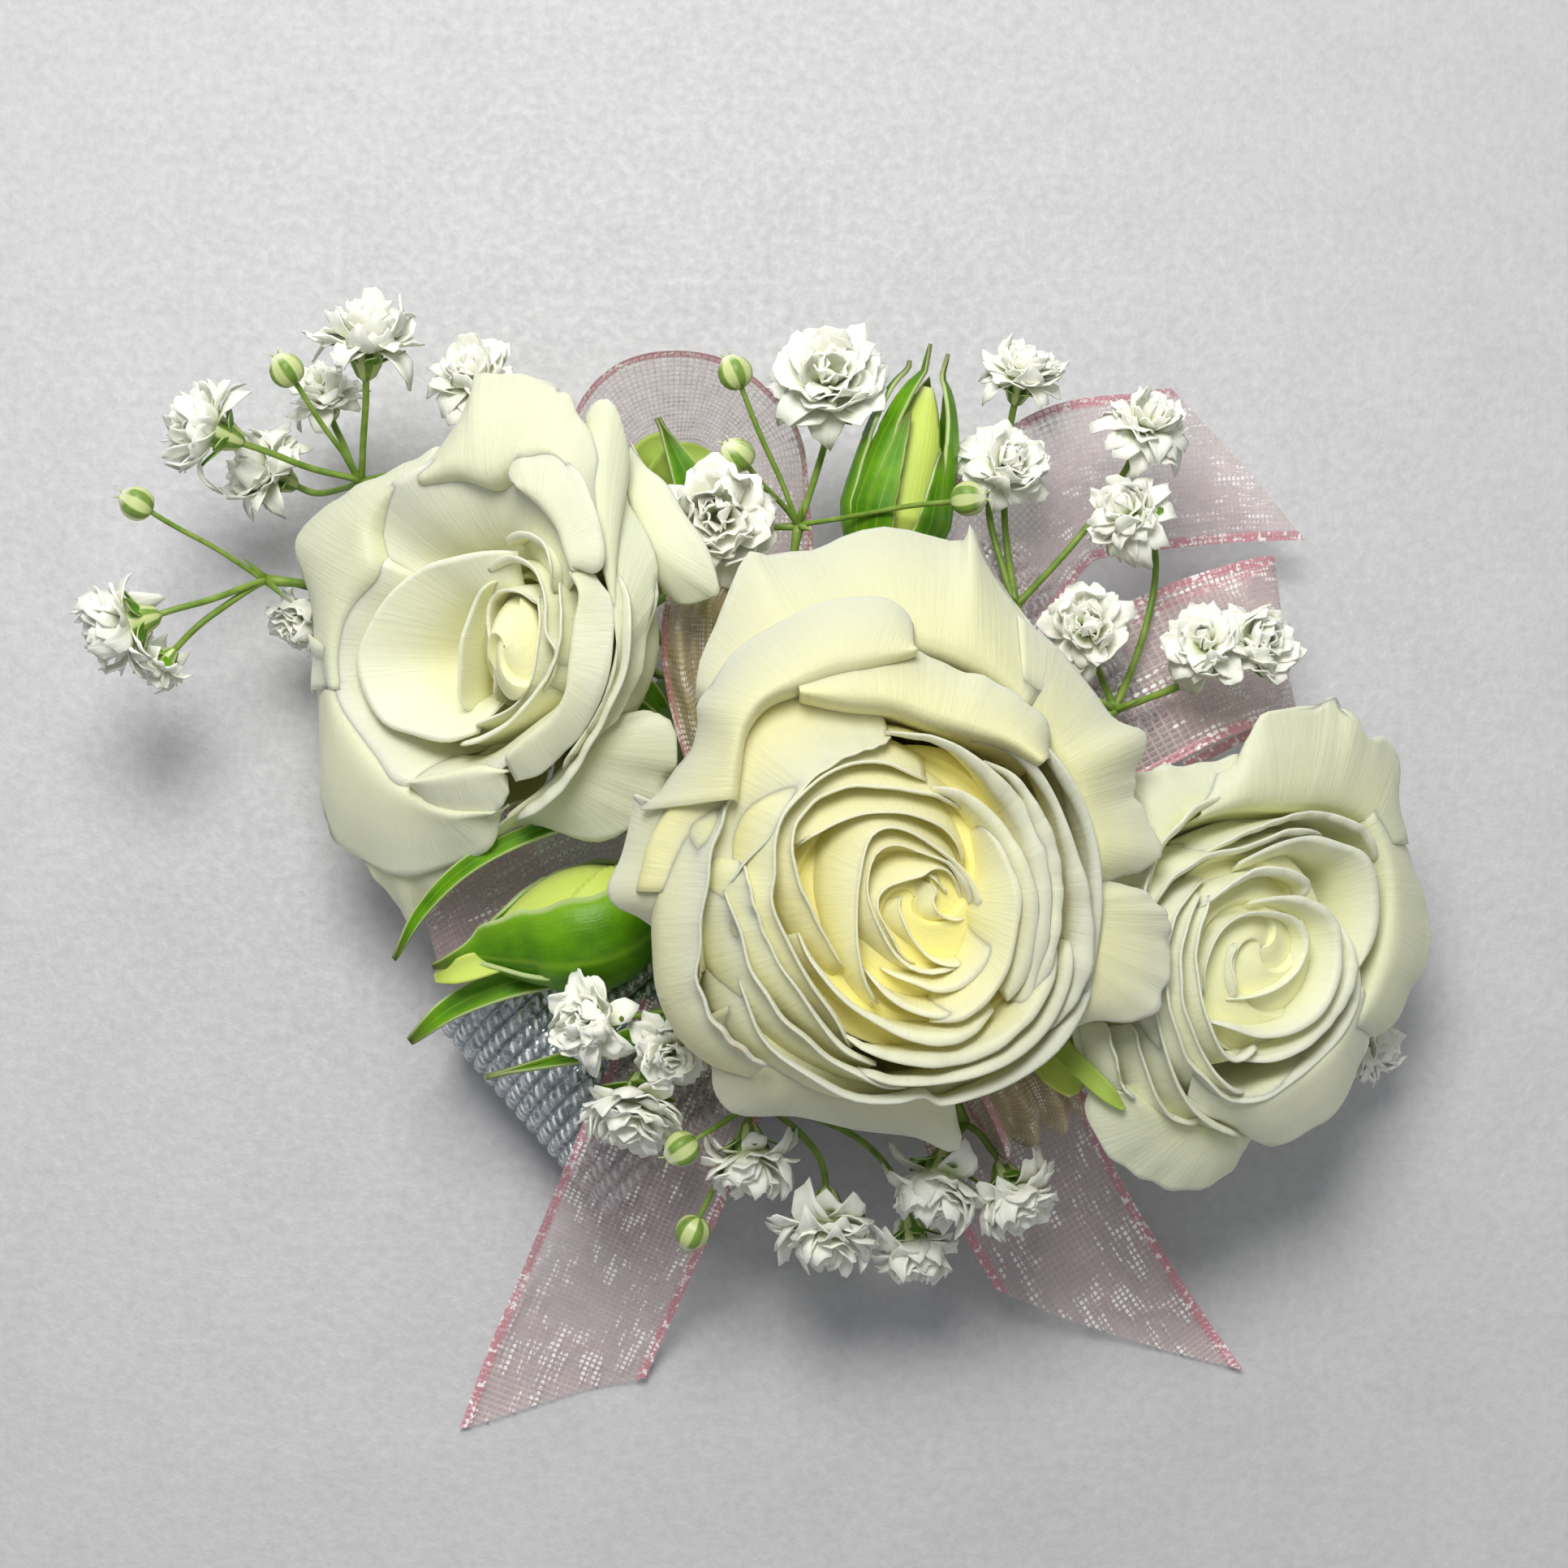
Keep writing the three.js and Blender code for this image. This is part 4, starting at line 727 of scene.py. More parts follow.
leftPetals = [
    cup([655, 745, 640, 730, 618, 727, 603, 738, 600, 760, 604, 800, 606, 840, 600, 862], [18.5, 19, 17.5,
        15.5], 1, 0.35, 0, eye=(645, 800)),
    cup([598, 713, 583, 740, 572, 775, 565, 815, 562, 850, 566, 873], [18.5, 18, 16], 0.6, 0.35, 0.05,
        eye=(630, 795)),
    cup([652, 733, 662, 760, 660, 800, 650, 840, 630, 868, 600, 885, 575, 893], [18.5, 18, 16.5], 0.5, 0.4,
        0.05, eye=(610, 800)),
    cup([612, 668, 640, 661, 665, 676, 676, 702, 668, 728], [19.5, 19.8, 19.3], 0.4, 1.2, 0.15,
        eye=(620, 760)),
    cup([590, 703, 625, 691, 655, 705, 668, 740, 670, 780, 680, 800, 675, 830, 655, 852], [18.8, 19.3, 18.6,
        18], 0.3, 1, 0.1, eye=(610, 790)),
    cup([625, 680, 590, 684, 555, 692, 520, 702, 485, 727, 458, 762, 440, 805, 446, 845, 470, 885, 510, 899,
        550, 907, 578, 897], [19, 18.5, 18, 17.2, 16.5], -6.5, 0.7, 0.15, dip=4),
    cup([555, 913, 590, 903, 625, 885, 652, 855, 672, 825, 684, 790, 684, 750, 676, 715], [17.5, 18.6,
        19.2], 0.2, 0.9, 0.2),
    cup([700, 702, 680, 670, 650, 632, 615, 600, 580, 583, 540, 577, 500, 590, 470, 615, 455, 650,
        462, 692], [20.2, 20.5, 20, 18.6], -7.5, 1.8, 0.25, dip=2.4),
    cup([470, 690, 430, 735, 415, 775, 407, 812, 412, 855, 435, 895, 460, 925, 480, 950, 505, 965], [18.6,
        18, 17.4, 17], -3.6, 1, 0.35, dip=1.5),
    cup([500, 956, 540, 962, 580, 951, 620, 927, 652, 902, 680, 876, 694, 850, 700, 810], [17.2, 18.2, 19,
        19.4], -2.4, 0.8, 0.35, dip=0.6),
    guard([503, 968, 528, 990, 560, 1001, 600, 999, 624, 977, 622, 955], [16, 15.5, 16.6], [503, 964,
          540, 957, 590, 949, 622, 951], [17.4, 17.6], 0.6),
    guard([628, 590, 640, 563, 665, 556, 690, 566, 715, 600, 730, 640, 737, 680, 728, 700, 705, 701], [20.2,
          20.2, 19.6, 19.8], [640, 600, 665, 622, 685, 650, 697, 680, 704, 702], [20.8, 20.6], 0.5),
    inAxes(guard([11.8, 5.2, 12.9, 3.3, 13.3, 1.3, 12.9, -2, 11.6, -5.3, 9.8, -8.6, 7.6, -11.2, 5, -12.7,
          2.1, -13.4], [18.4, 18, 16.6], [10.2, 5.1, 11.1, 3.2, 10.5, 0.3, 10.1, -2.8, 9.5, -5.7, 7.8, -7.9,
          4.9, -9.6, 2.1, -11.2], [20, 19.6, 18.4], 0.4)),
    inAxes(cup([12.4, 5.4, 13.6, 2.4, 14, -1.2, 13.1, -4.8, 11.3, -7.8, 9, -10.5, 6.8, -12.7, 3.9, -14.8,
        1, -16.3], [18.2, 17.8, 16.6], -1, 1.2, 0.6)),
    guard([533, 562, 560, 530, 580, 492, 586, 466, 640, 462, 682, 470, 697, 492, 716, 530, 731, 570,
          736, 610, 735, 660], [15.5, 16.5, 17, 17.5], [515, 592, 560, 580, 600, 590, 640, 567, 680, 560,
          710, 595, 727, 650], [19, 20.3, 19.5], 0.8),
    guard([545, 552, 500, 580, 440, 603, 402, 625, 371, 655, 365, 690, 376, 745, 387, 800, 396, 850], [16,
          15.5, 14, 14.5, 15], [522, 588, 482, 606, 454, 650, 456, 700, 427, 745, 410, 800, 412, 850],
          [18.4, 18, 17], 0.85),
    guard([380, 780, 396, 860, 399, 930, 396, 990, 401, 1030, 420, 1046, 455, 1062, 500, 1066, 550, 1060,
          592, 1040, 612, 1010, 626, 990], [14, 13.3, 12.5, 13.2, 14.5], [409, 800, 414, 860, 438, 905,
          468, 945, 503, 977, 550, 1002, 602, 1003], [17, 16, 16.3], 0.85),
    guard([735, 640, 733, 580, 731, 515, 746, 502, 762, 530, 775, 578, 766, 612, 790, 650, 806, 700,
          809, 735, 797, 790, 780, 845, 752, 880, 715, 915, 690, 945], [16.5, 15.5, 14, 14, 14.5, 16],
          [736, 665, 743, 700, 755, 740, 760, 790, 751, 840, 728, 890, 703, 930], [17.5, 17.5, 17], 0.85),
    guard([740, 890, 785, 882, 812, 880, 832, 938, 815, 970, 800, 1000, 770, 1018, 700, 1021, 640, 1013,
          615, 1032, 590, 1043], [12.5, 10.5, 9.5, 10.5, 11.5], [748, 878, 722, 915, 692, 948, 662, 978,
          628, 1004], [14, 14], 1),
    guard([455, 1060, 480, 1095, 500, 1130, 512, 1142, 520, 1115, 533, 1100, 562, 1060], [11.5, 9, 8.5, 10,
          11.5], [465, 1045, 500, 1052, 535, 1050], [12.5, 12.5], 0.95),
    guard([778, 545, 802, 590, 842, 650, 882, 718, 872, 736, 822, 738, 808, 715], [12, 11.5, 11], [770, 600,
          785, 640, 800, 680, 806, 715], [13, 13], 1),
]
rightPetals = [
    cup([1528, 1158, 1521, 1183, 1524, 1212, 1529, 1232], [16, 16], 0.6, 0.3, 0.1, eye=(1548, 1190)),
    cup([1497, 1226, 1491, 1196, 1499, 1165, 1516, 1141, 1541, 1127, 1576, 1127, 1600, 1137, 1613, 1160,
        1606, 1190, 1585, 1211, 1552, 1226, 1525, 1231], [16.3, 16.8, 16.8, 16.3], 0.3, 0.5, 0.15),
    cup([1500, 1256, 1530, 1263, 1560, 1271, 1595, 1266, 1625, 1246, 1645, 1216, 1652, 1180, 1650, 1150,
        1638, 1130, 1612, 1114, 1588, 1110, 1555, 1114], [16.8, 17.2, 17.4, 17.4], -0.8, 0.6, 0.25),
    cup([1492, 1118, 1512, 1100, 1535, 1087, 1562, 1079, 1592, 1080, 1613, 1091, 1619, 1108], [17.4, 17.8,
        17.6], 0.6, 1.1, 0.3),
    cup([1502, 1105, 1487, 1132, 1480, 1165, 1481, 1200, 1488, 1240, 1500, 1272, 1516, 1296, 1533, 1302,
        1560, 1290], [17.4, 17.4, 17], 0.6, 0.9, 0.3),
    cup([1492, 1100, 1471, 1130, 1462, 1170, 1461, 1215, 1470, 1260, 1490, 1302, 1515, 1337, 1545, 1345],
        [17.2, 17.2, 16.4], 0.6, 0.9, 0.4),
    cup([1535, 1302, 1575, 1300, 1610, 1285, 1642, 1255, 1662, 1220, 1670, 1180, 1664, 1140], [16.8, 16.8],
        -0.8, 0.6, 0.35),
    cup([1500, 1085, 1467, 1110, 1446, 1145, 1440, 1190, 1445, 1240, 1463, 1290, 1488, 1325, 1520, 1351,
        1560, 1348, 1592, 1328, 1622, 1303, 1652, 1272, 1675, 1228, 1683, 1180], [16.8, 16.6, 15.8, 15.6,
        16], 0.5, 0.9, 0.45),
    cup([1540, 1067, 1580, 1047, 1620, 1037, 1650, 1045, 1680, 1057, 1695, 1087, 1698, 1130, 1689, 1175,
        1676, 1202], [17, 17, 16.4], -1.2, 0.7, 0.45),
    cup([1428, 1130, 1440, 1098, 1465, 1070, 1500, 1056, 1545, 1046, 1590, 1030, 1640, 1030], [15.6, 16.6,
        16.6], 0.6, 1, 0.45),
    cup([1500, 1050, 1535, 1030, 1575, 1016, 1615, 1008, 1650, 1012, 1685, 1030, 1708, 1060], [16.2, 16,
        15.6], 0.4, 0.8, 0.5),
    cup([1536, 990, 1500, 993, 1465, 1011, 1436, 1045, 1420, 1085, 1412, 1120, 1419, 1160, 1424, 1200,
        1431, 1250, 1444, 1300, 1469, 1347, 1500, 1377, 1540, 1398], [15.2, 15, 14.6, 14], 0.8, 1.6, 0.6),
    cup([1404, 1262, 1409, 1292, 1422, 1330, 1441, 1364, 1466, 1381, 1492, 1376], [13, 12.6, 12.6], 0.6, 1,
        0.65),
    cup([1372, 1258, 1378, 1300, 1389, 1338, 1408, 1355], [12, 11.5], 0.5, 0.9, 0.8),
    guard([1470, 982, 1500, 960, 1525, 940, 1540, 905, 1566, 880, 1620, 873, 1651, 858, 1661, 885,
          1686, 915, 1702, 920, 1719, 955, 1726, 1000, 1731, 1040], [12.5, 14, 15.5, 15.5, 13.5, 12.5],
          [1480, 1003, 1530, 990, 1590, 990, 1640, 992, 1688, 1008, 1714, 1040], [14.4, 14.8, 14], 1),
    guard([1700, 960, 1722, 1010, 1742, 1060, 1756, 1110, 1758, 1150, 1750, 1195, 1730, 1216, 1715, 1252,
          1692, 1277, 1660, 1292], [12, 12, 11.5, 12], [1688, 1005, 1708, 1060, 1714, 1120, 1704, 1180,
          1680, 1240, 1652, 1280], [14.5, 14.8, 14.5], 0.8),
    guard([1682, 1250, 1688, 1292, 1670, 1327, 1632, 1367, 1600, 1391, 1570, 1415, 1540, 1400, 1500, 1382,
          1462, 1352], [12.4, 12, 12, 12.6], [1678, 1215, 1658, 1265, 1624, 1305, 1584, 1332, 1540, 1350,
          1500, 1336, 1470, 1304], [15, 15, 14.6], 0.7),
    guard([1345, 1338, 1338, 1365, 1350, 1396, 1376, 1426, 1411, 1446, 1450, 1458, 1500, 1450, 1535, 1422,
          1546, 1400], [8.5, 8, 8, 9], [1392, 1347, 1430, 1372, 1470, 1387, 1510, 1396, 1546, 1399], [10.8,
          10.8], 0.85),
    guard([1405, 1096, 1398, 1050, 1395, 1000, 1401, 960, 1440, 953, 1490, 943, 1526, 934], [11.5, 11.5,
          12.5], [1414, 1102, 1424, 1060, 1452, 1017, 1490, 994, 1532, 982], [13.6, 13.8], 1),
]

# base: where the hip stands; eye: what the petals stand round; sway: which way and how far they
# all lean; packed: top, radius and half length of the heart, packedAt: where it stands,
# wound: how many edges wind over it, their twist per mm and their step; stemEnd: in the bundle
roses = {
    "centre": {"base": (6.3, -5.9, 24.8), "face": (0.09, -0.13, 0.98), "look": petalCentre,
               "slot": "rose_petal_warm", "petals": centrePetals, "eye": (2.9, 0.6), "sway": (-2.0, 1.2),
               "packed": (19.6, 12.5, 13.5), "packedAt": (1.0, 0.8), "wound": (3, 0.5, 0.8),
               "stemEnd": (5.6, -3.6, 22.5)},
    "left": {"base": (-20.6, 19.6, 20.2), "face": (-0.498, -0.101, 0.862), "look": petalSide,
             "slot": "rose_petal_cream", "petals": leftPetals, "eye": (1.1, -0.8), "sway": (0.6, 0.0),
             "packed": (19, 2.7, 4.8), "packedAt": (2.4, -1.2), "wound": (3, 0.55, 1.3),
             "stemEnd": (-16.4, 16, 21)},
    "right": {"base": (35.8, -9.4, 16.8), "face": (0.498, -0.101, 0.862), "look": petalSide,
              "slot": "rose_petal_cream", "petals": rightPetals, "eye": (-3.6, -0.9), "sway": (-0.6, 0.0),
              "packed": (15.2, 9.3, 9.8), "packedAt": (-2.2, 0.6), "wound": (3, 0.5, 0.8),
              "stemEnd": (27, -7.8, 20.6)},
}


def buildBloom(side, rose, stand):
    # every petal of the table, turned and moved onto its hip; each has its age and a random tone
    parts = []
    for k, petal in enumerate(rose["petals"]):
        sheet, uv = petalGrid(readPetal(petal, stand), rose, 1.7 * k)
        rows, cols = sheet.shape[:2]
        parts.append((placed(sheet, stand).reshape(-1, 3), gridQuads(1, rows, cols, False), uv.reshape(-1, 2),
                      np.full(rows * cols, petal["age"]), np.full(rows * cols, chance.random())))
    points, faces, uv, age, tone = mergeParts(parts)
    addPiece(f"rose_{side}_bloom", points, faces, rose["look"], rose["slot"], f"rose_{side}_petals", uv=uv,
             values={"age": age, "tone": tone}, thick=petalMesh["thick"])


def buildHeart(side, rose, stand):
    # the furled petals that close the gaps, a dome of radius R and height h. Its columns
    # wind outwards, angle + twist r, and the height steps up by step over each of the arms, so
    # every arm is the free edge of a petal wrapped over the next
    top, reach, long = rose["packed"]
    arms, twist, step = rose["wound"]
    dome, below = heartMesh["dome"], heartMesh["below"]
    angle = fullTurn(heartMesh["around"])
    down = np.linspace(0.02, 1, below)
    r = np.concatenate([np.linspace(0.06, reach, dome), reach * (1 - 0.55 * down**2), [0.1]])[:, None]
    fall = heartMesh["fall"] * np.linspace(0, 1, dome) ** 2
    z = np.concatenate([top - fall, np.linspace(top - 2, rootHeight, below), [rootHeight]])[:, None]
    share = (angle * arms / tau) % 1
    rise = heartMesh["rise"]
    lap = np.where(share < rise, share / rise, (1 - share) / (1 - rise)) - 0.5
    z = z + step * lap * np.minimum(1, r / 1.6) * (z > top - 1.9)
    wound = angle + twist * r * (z > rootHeight + 0.1)
    moved = (z > top - 4)[..., None] * [*rose["packedAt"], 0]
    ring = (around(r, wound, z) * (1, long / reach, 1) + moved)[::-1]
    # the heart takes the colour of a petal's foot: full gold, its own colour with painted glow
    uv = gridUv(1, *ring.shape[:2]) * (1, 0) + (0, 0.55)
    gridPiece(f"rose_{side}_heart", placed(ring, stand), rose["look"], rose["slot"], wrap=True, uv=uv,
              values={"age": np.full(ring.shape[:2], 0.05), "tone": np.zeros(ring.shape[:2])})


def cupGrid(rings, cols=20):
    # a turned cup from radius and height in turn, finely stepped by interpolation
    profile = throughPoints(withZero(rings), np.linspace(0, 1, 22))
    return around(np.maximum(profile[:, :1], 0.02), fullTurn(cols), profile[:, 1:2])


def buildFoot(name, rings, heights, end, radii, rows, sides, stand):
    # a cup and the stem that runs from it, by way of two heights on its axis, to its end
    axis = placed(np.array([[0, 0, height] for height in heights]), stand)
    path = throughPoints([*axis, end], np.linspace(0, 1, rows))
    stem = tubeGrid(path, np.linspace(*radii, rows), sides)
    points, faces, uv = closedTubes([placed(cupGrid(rings), stand), stem])
    addPiece(name, points, faces, sepalGreen, "rose_green", uv=uv * (0, 0.5) + (0.3, 0))


def buildCalyx(side, rose, stand):
    # hip and stem, and the sepals under the bloom: r = foot + reach.t, dropping drop.t^2, half
    # width half.sqrt(1 - 0.85t)
    radius, height = hip["radius"], hip["height"]
    rings = [0.2, -0.2, 1.4, 0, radius * 0.8, 1.4, radius, 3, radius * 0.78, height, 0.3, height]
    buildFoot(f"rose_{side}_hip", rings, (1.5, -0.6), rose["stemEnd"], (1.7, 1.5), hip["steps"], hip["sides"],
              stand)
    s = np.linspace(-1, 1, 9)[None, :]
    t = np.linspace(0, 1, 16)[:, None]
    made = []
    for k in range(calyx["sepals"]):
        across = s * calyx["half"] * np.sqrt(1 - 0.85 * t) * (1 + 0.08 * np.sin(21 * t + k))
        z = height - 0.75 - calyx["drop"] * t * t + 0.35 * np.abs(s) + 0.25 * np.sin(5 * t + k)
        turn = math.radians(calyx["first"] + 360 / calyx["sepals"] * k)
        made.append(around(calyx["foot"] + calyx["reach"] * t, turn, z, across))
    leaf = np.array(made)
    gridPiece(f"rose_{side}_sepals", placed(leaf, stand), sepalGreen, "rose_green", node=f"rose_{side}_calyx",
              uv=gridUv(*leaf.shape[:3]), thick=calyx["thick"])


for side, rose in roses.items():
    stand = standing(rose["base"], rose["face"])
    buildBloom(side, rose, stand)
    buildHeart(side, rose, stand)
    buildCalyx(side, rose, stand)
print("stage: roses made")


# buds

# sepals: degrees round the bud, length, spread at the tip and half width
buds = {
    "front": {"base": (-11.6, -4.4, 23.6), "face": (-0.965, -0.25, 0.02), "length": 23.5, "radius": 7,
              "stemEnd": (-1.5, 1.5, 22), "tapers": False,
              "sepals": [(226, 24, 0.5, 6.2), (176, 23, 1.0, 3.6), (122, 20, 0.4, 4), (62, 20, 0.4, 4)]},
    "back": {"base": (7, 26.5, 22.5), "face": (0.24, 0.95, 0.2), "length": 20, "radius": 5.3,
             "stemEnd": (4.5, 3, 21.9), "tapers": True,
             "sepals": [(332, 21.5, 0.3, 2.1), (95, 19, 0.4, 3.6), (196, 20, 1.6, 2), (224, 22, 0.3, 2),
                        (250, 15, 0.3, 1.8), (305, 12, 0.3, 1.7), (40, 18, 0.4, 3)]},
    "small": {"base": (22.6, -15.2, 21.5), "face": (0.5, -0.8, 0.2), "length": 8, "radius": 2.2,
              "stemEnd": (19.5, -8.8, 22), "tapers": False,
              "sepals": [(30, 8.5, 0.6, 1.8), (150, 8, 0.4, 1.8), (270, 7.5, 0.4, 1.8)]},
}
# edges: how many wrapped edges wind up the closed petals
budMesh = {"edges": 3, "around": 72, "upCore": 60, "acrossSepal": 11, "upSepal": 34, "thick": 0.4}


def budShell(bud, t):
    # the closed bud's outline: radius . sin(pi(t + 0.12))^0.8 . (1 - 0.45t), or for a tapering bud
    # radius . (1 - 0.42t) . (1 - t^4)^0.6, drawn in a little at its foot
    if bud["tapers"]:
        return bud["radius"] * (1 - 0.42 * t) * np.maximum(0, 1 - t**4) ** 0.6 * np.minimum(1, 0.75 + 1.2 * t)
    return bud["radius"] * np.sin(math.pi * np.minimum(1, t + 0.12)) ** 0.8 * (1 - 0.45 * t)


def buildBudCore(side, bud, stand):
    # closed petals: the outline with wrapped edges winding up it, each a step in its radius
    t = np.linspace(0.09, 0.93, budMesh["upCore"])[:, None]
    angle = fullTurn(budMesh["around"])[None, :]
    winding, step = (0.4, 0.3) if bud["tapers"] else (1.6, 0.16)
    wind = (budMesh["edges"] * angle / tau + winding * t) % 1.0
    lap = 1 + step * (wind - 0.5) * (1 - 0.3 * t)
    ring = around(np.maximum(budShell(bud, t) - 0.9, 0.3) * lap, angle, bud["length"] * (0.12 + 0.88 * t))
    points, faces, uv = closedTubes([placed(ring, stand)])
    along = uv[:, 1]
    addPiece(f"bud_{side}_wrapped", points, faces, petalBud, "bud_petal", f"bud_{side}_petals",
             uv=uv * (1, 0.8) + (0, 0.2), values={"age": 0.6 - 0.5 * along, "tone": 0.3 * along})


def buildBudSepals(side, bud, stand):
    # on the shell, turning away by spread.t^1.6, half width w.sin(pi(0.76t + 0.22))^1.1, or
    # w.(1 - t)^0.7 on a tapering bud
    s = np.linspace(-1, 1, budMesh["acrossSepal"])[None, :]
    t = np.linspace(0, 1, budMesh["upSepal"])[:, None]
    made = []
    for k, (degrees, length, spread, width) in enumerate(bud["sepals"]):
        height = 0.8 + length * t
        shell = budShell(bud, np.maximum(np.minimum(height / bud["length"], 1) - 0.12, 0) / 0.88)
        away = np.maximum(shell, 0.4) + 0.5 + spread * t**1.6 - 1.2 * (1 - t) ** 10
        half = width * np.sin(math.pi * np.minimum(0.97, t * 0.76 + 0.22)) ** 1.1
        if bud["tapers"]:
            half = width * (1 - t) ** 0.7 * (0.7 + 0.3 * np.minimum(1, 5 * t)) + 0.12
        half = half * (1 + 0.03 * np.sin(33 * t + k))
        bend = math.radians(degrees) + s * half / np.maximum(away, 2.2)
        cupped = 0.12 * half * (s * s - 0.5) * np.sign(t - 0.6)
        made.append(around(away + cupped, bend, height))
    made = np.array(made)
    gridPiece(f"bud_{side}_leafy", placed(made, stand), sepalGreen, "rose_green", node=f"bud_{side}_sepals",
              uv=gridUv(*made.shape[:3]), thick=budMesh["thick"])


for side, bud in buds.items():
    stand = standing(bud["base"], bud["face"])
    buildBudCore(side, bud, stand)
    buildBudSepals(side, bud, stand)
    radius, low, top = bud["radius"], bud["length"] * 0.12, bud["length"] * 0.19 - 0.3
    rings = [0.2, -0.5, 1.1, -0.4, radius * 0.62, 0.9, radius * 0.7, low, radius * 0.5, top, 0.2, top]
    buildFoot(f"bud_{side}_foot", rings, (0.6, -1.4), bud["stemEnd"], (1.2, 1.1), 16, 12, stand)


bladeThick = {"leaf": 0.35, "curl": 0.3}
leaves = {
    "leaf_front": {"path": [(1.5, -0.6, 20.2), (-7, -12.4, 19.5), (-16, -17.6, 20), (-30.5, -21.6, 21.4)],
                   "half": 1.7},
    "leaf_back": {"path": [(-7, 11.5, 22), (-8.5, 26, 21), (-11, 34, 26), (-14.5, 41, 27)], "half": 2.4},
}
# small curled sepals and petals that show between the blooms: path, half width, material and slot
curls = {
    "curl_high": ([(-14.6, 34.6, 21), (-13.6, 36.6, 23.4), (-11.8, 38, 24), (-9.4, 38.8, 22)], 1.8,
                  petalCurl, "bud_petal"),
    "curl_bud_high": ([(-17, 3.4, 25), (-25, 1.2, 27), (-32, -2.2, 26.5), (-36.6, -6.4, 24.5),
                      (-39.2, -10.6, 22.5)], 0.85, sepalGreen, "rose_green"),
    "curl_bud_low": ([(-15, -9.6, 21), (-22, -11.4, 22), (-29, -13, 22.2), (-34, -15.2, 21.6),
                     (-37.8, -18.2, 20.6)], 1.5, sepalGreen, "rose_green"),
    "curl_low": ([(20, -17, 28.5), (24, -21, 31), (27, -24, 32), (28.6, -25.4, 31.4)], 0.9, petalCurl,
                 "bud_petal"),
    "curl_round": ([(21.5, -19.5, 27.5), (23.3, -21.6, 28.5), (24.4, -23.8, 28)], 2.1, petalBud,
                   "bud_petal"),
    "curl_behind": ([(-16.8, 36.5, 20), (-15.6, 38.8, 22), (-13.8, 39.8, 22), (-12.4, 39.4, 21)], 1.4,
                    petalCurl, "bud_petal"),
    "curl_pale": ([(-8.4, 24.2, 19.6), (-11, 28, 20.6), (-14, 32, 20.8), (-16.6, 35.8, 20)], 2.1, petalBud,
                  "bud_petal"),
    "curl_front": ([(-13.4, 9.6, 21.8), (-14, 12.6, 23.8), (-15.4, 15.2, 24.6), (-17, 16.9, 24)], 0.95,
                   sepalGreen, "rose_green"),
    "curl_tip": ([(-27.5, -10.4, 24.2), (-31, -11.4, 24.9), (-33.4, -12.1, 24.6), (-35.2, -12.6, 23.8)],
                 1.3, petalBud, "bud_petal"),
    "curl_thin": ([(-16.6, 2.2, 21.6), (-20, 2.2, 23), (-25, 2.5, 23.4), (-29, 2.8, 22.6)], 0.7, sepalGreen,
                  "rose_green"),
}


def bladeGrid(path, t, s, wide, tilt):
    # a strip along the path, `wide` to each side of it, its side vector level but for the tilt
    line = throughPoints(path, t)
    ahead = unit(np.gradient(line, axis=0))
    across = unit(np.stack([-ahead[:, 1], ahead[:, 0], tilt], -1))
    return line[:, None] + across[:, None] * (s[None, :, None] * wide[:, None, None])


def buildLeaf(name, leaf, rows=40, cols=9):
    # a blade, half width half.sin(pi(0.2 + 0.8t)) but not under a tenth, edges raised 0.35 mm
    t, s = np.linspace(0, 1, rows), np.linspace(-1, 1, cols)
    wide = leaf["half"] * np.maximum(0.1, np.sin(math.pi * np.minimum(0.985, 0.2 + t * 0.8)))
    grid = bladeGrid(leaf["path"], t, s, wide, 0 * t)
    grid[..., 2] += 0.35 * np.abs(s)[None, :] + 0.15 * np.sin(9 * t)[:, None] * s[None, :]
    gridPiece(f"{name}_blade", grid, sepalGreen, "leaf_green", node=name, uv=gridUv(1, rows, cols),
              thick=bladeThick["leaf"])


def buildCurl(name, path, half, look, slot, rows=30, cols=9):
    # a cupped blade, half width half.sin(pi(0.22 + 0.74t))^0.7, edges raised by 0.35 of it
    t, s = np.linspace(0, 1, rows), np.linspace(-1, 1, cols)
    wide = half * np.sin(math.pi * (0.22 + 0.74 * t)) ** 0.7
    grid = bladeGrid(path, t, s, wide, 0.2 * np.sin(5 * t))
    grid[..., 2] += 0.35 * wide[:, None] * s[None, :] ** 2 + 0.12 * np.sin(11 * t)[:, None] * s[None, :]
    gridPiece(name, grid, look, slot, uv=gridUv(1, rows, cols), thick=bladeThick["curl"],
              values={"age": np.full((rows, cols), 0.5), "tone": np.full((rows, cols), 0.2)})


for name, leaf in leaves.items():
    buildLeaf(name, leaf)
for name, curl in curls.items():
    buildCurl(name, *curl)
print("stage: buds and leaves made")


# gypsophila

# layers: how many petals, slope from the axis in degrees, length and half width
floret = {"height": 6.4,
          "layers": [(12, 92, 5.5, 1.45), (12, 76, 5.2, 1.4), (10, 58, 4.6, 1.3), (8, 38, 4, 1.15),
                     (6, 18, 3.4, 1)],
          "cupRings": [(0.35, -0.5), (0.85, -0.1), (1.35, 1.0), (1.5, 2.2), (1.75, 3.1)],
          "leaflets": 5, "petalThick": 0.14, "bractThick": 0.12}
# radii of the stalks and of the closed bud
spraySize = {"root": 0.42, "headStalk": 0.34, "budStalk": 0.26, "bud": 1.65, "tips": (0.16, 0.12, 0.05),
             "bracts": (0.5, 0.3, 0.06), "bractReach": 2.2}
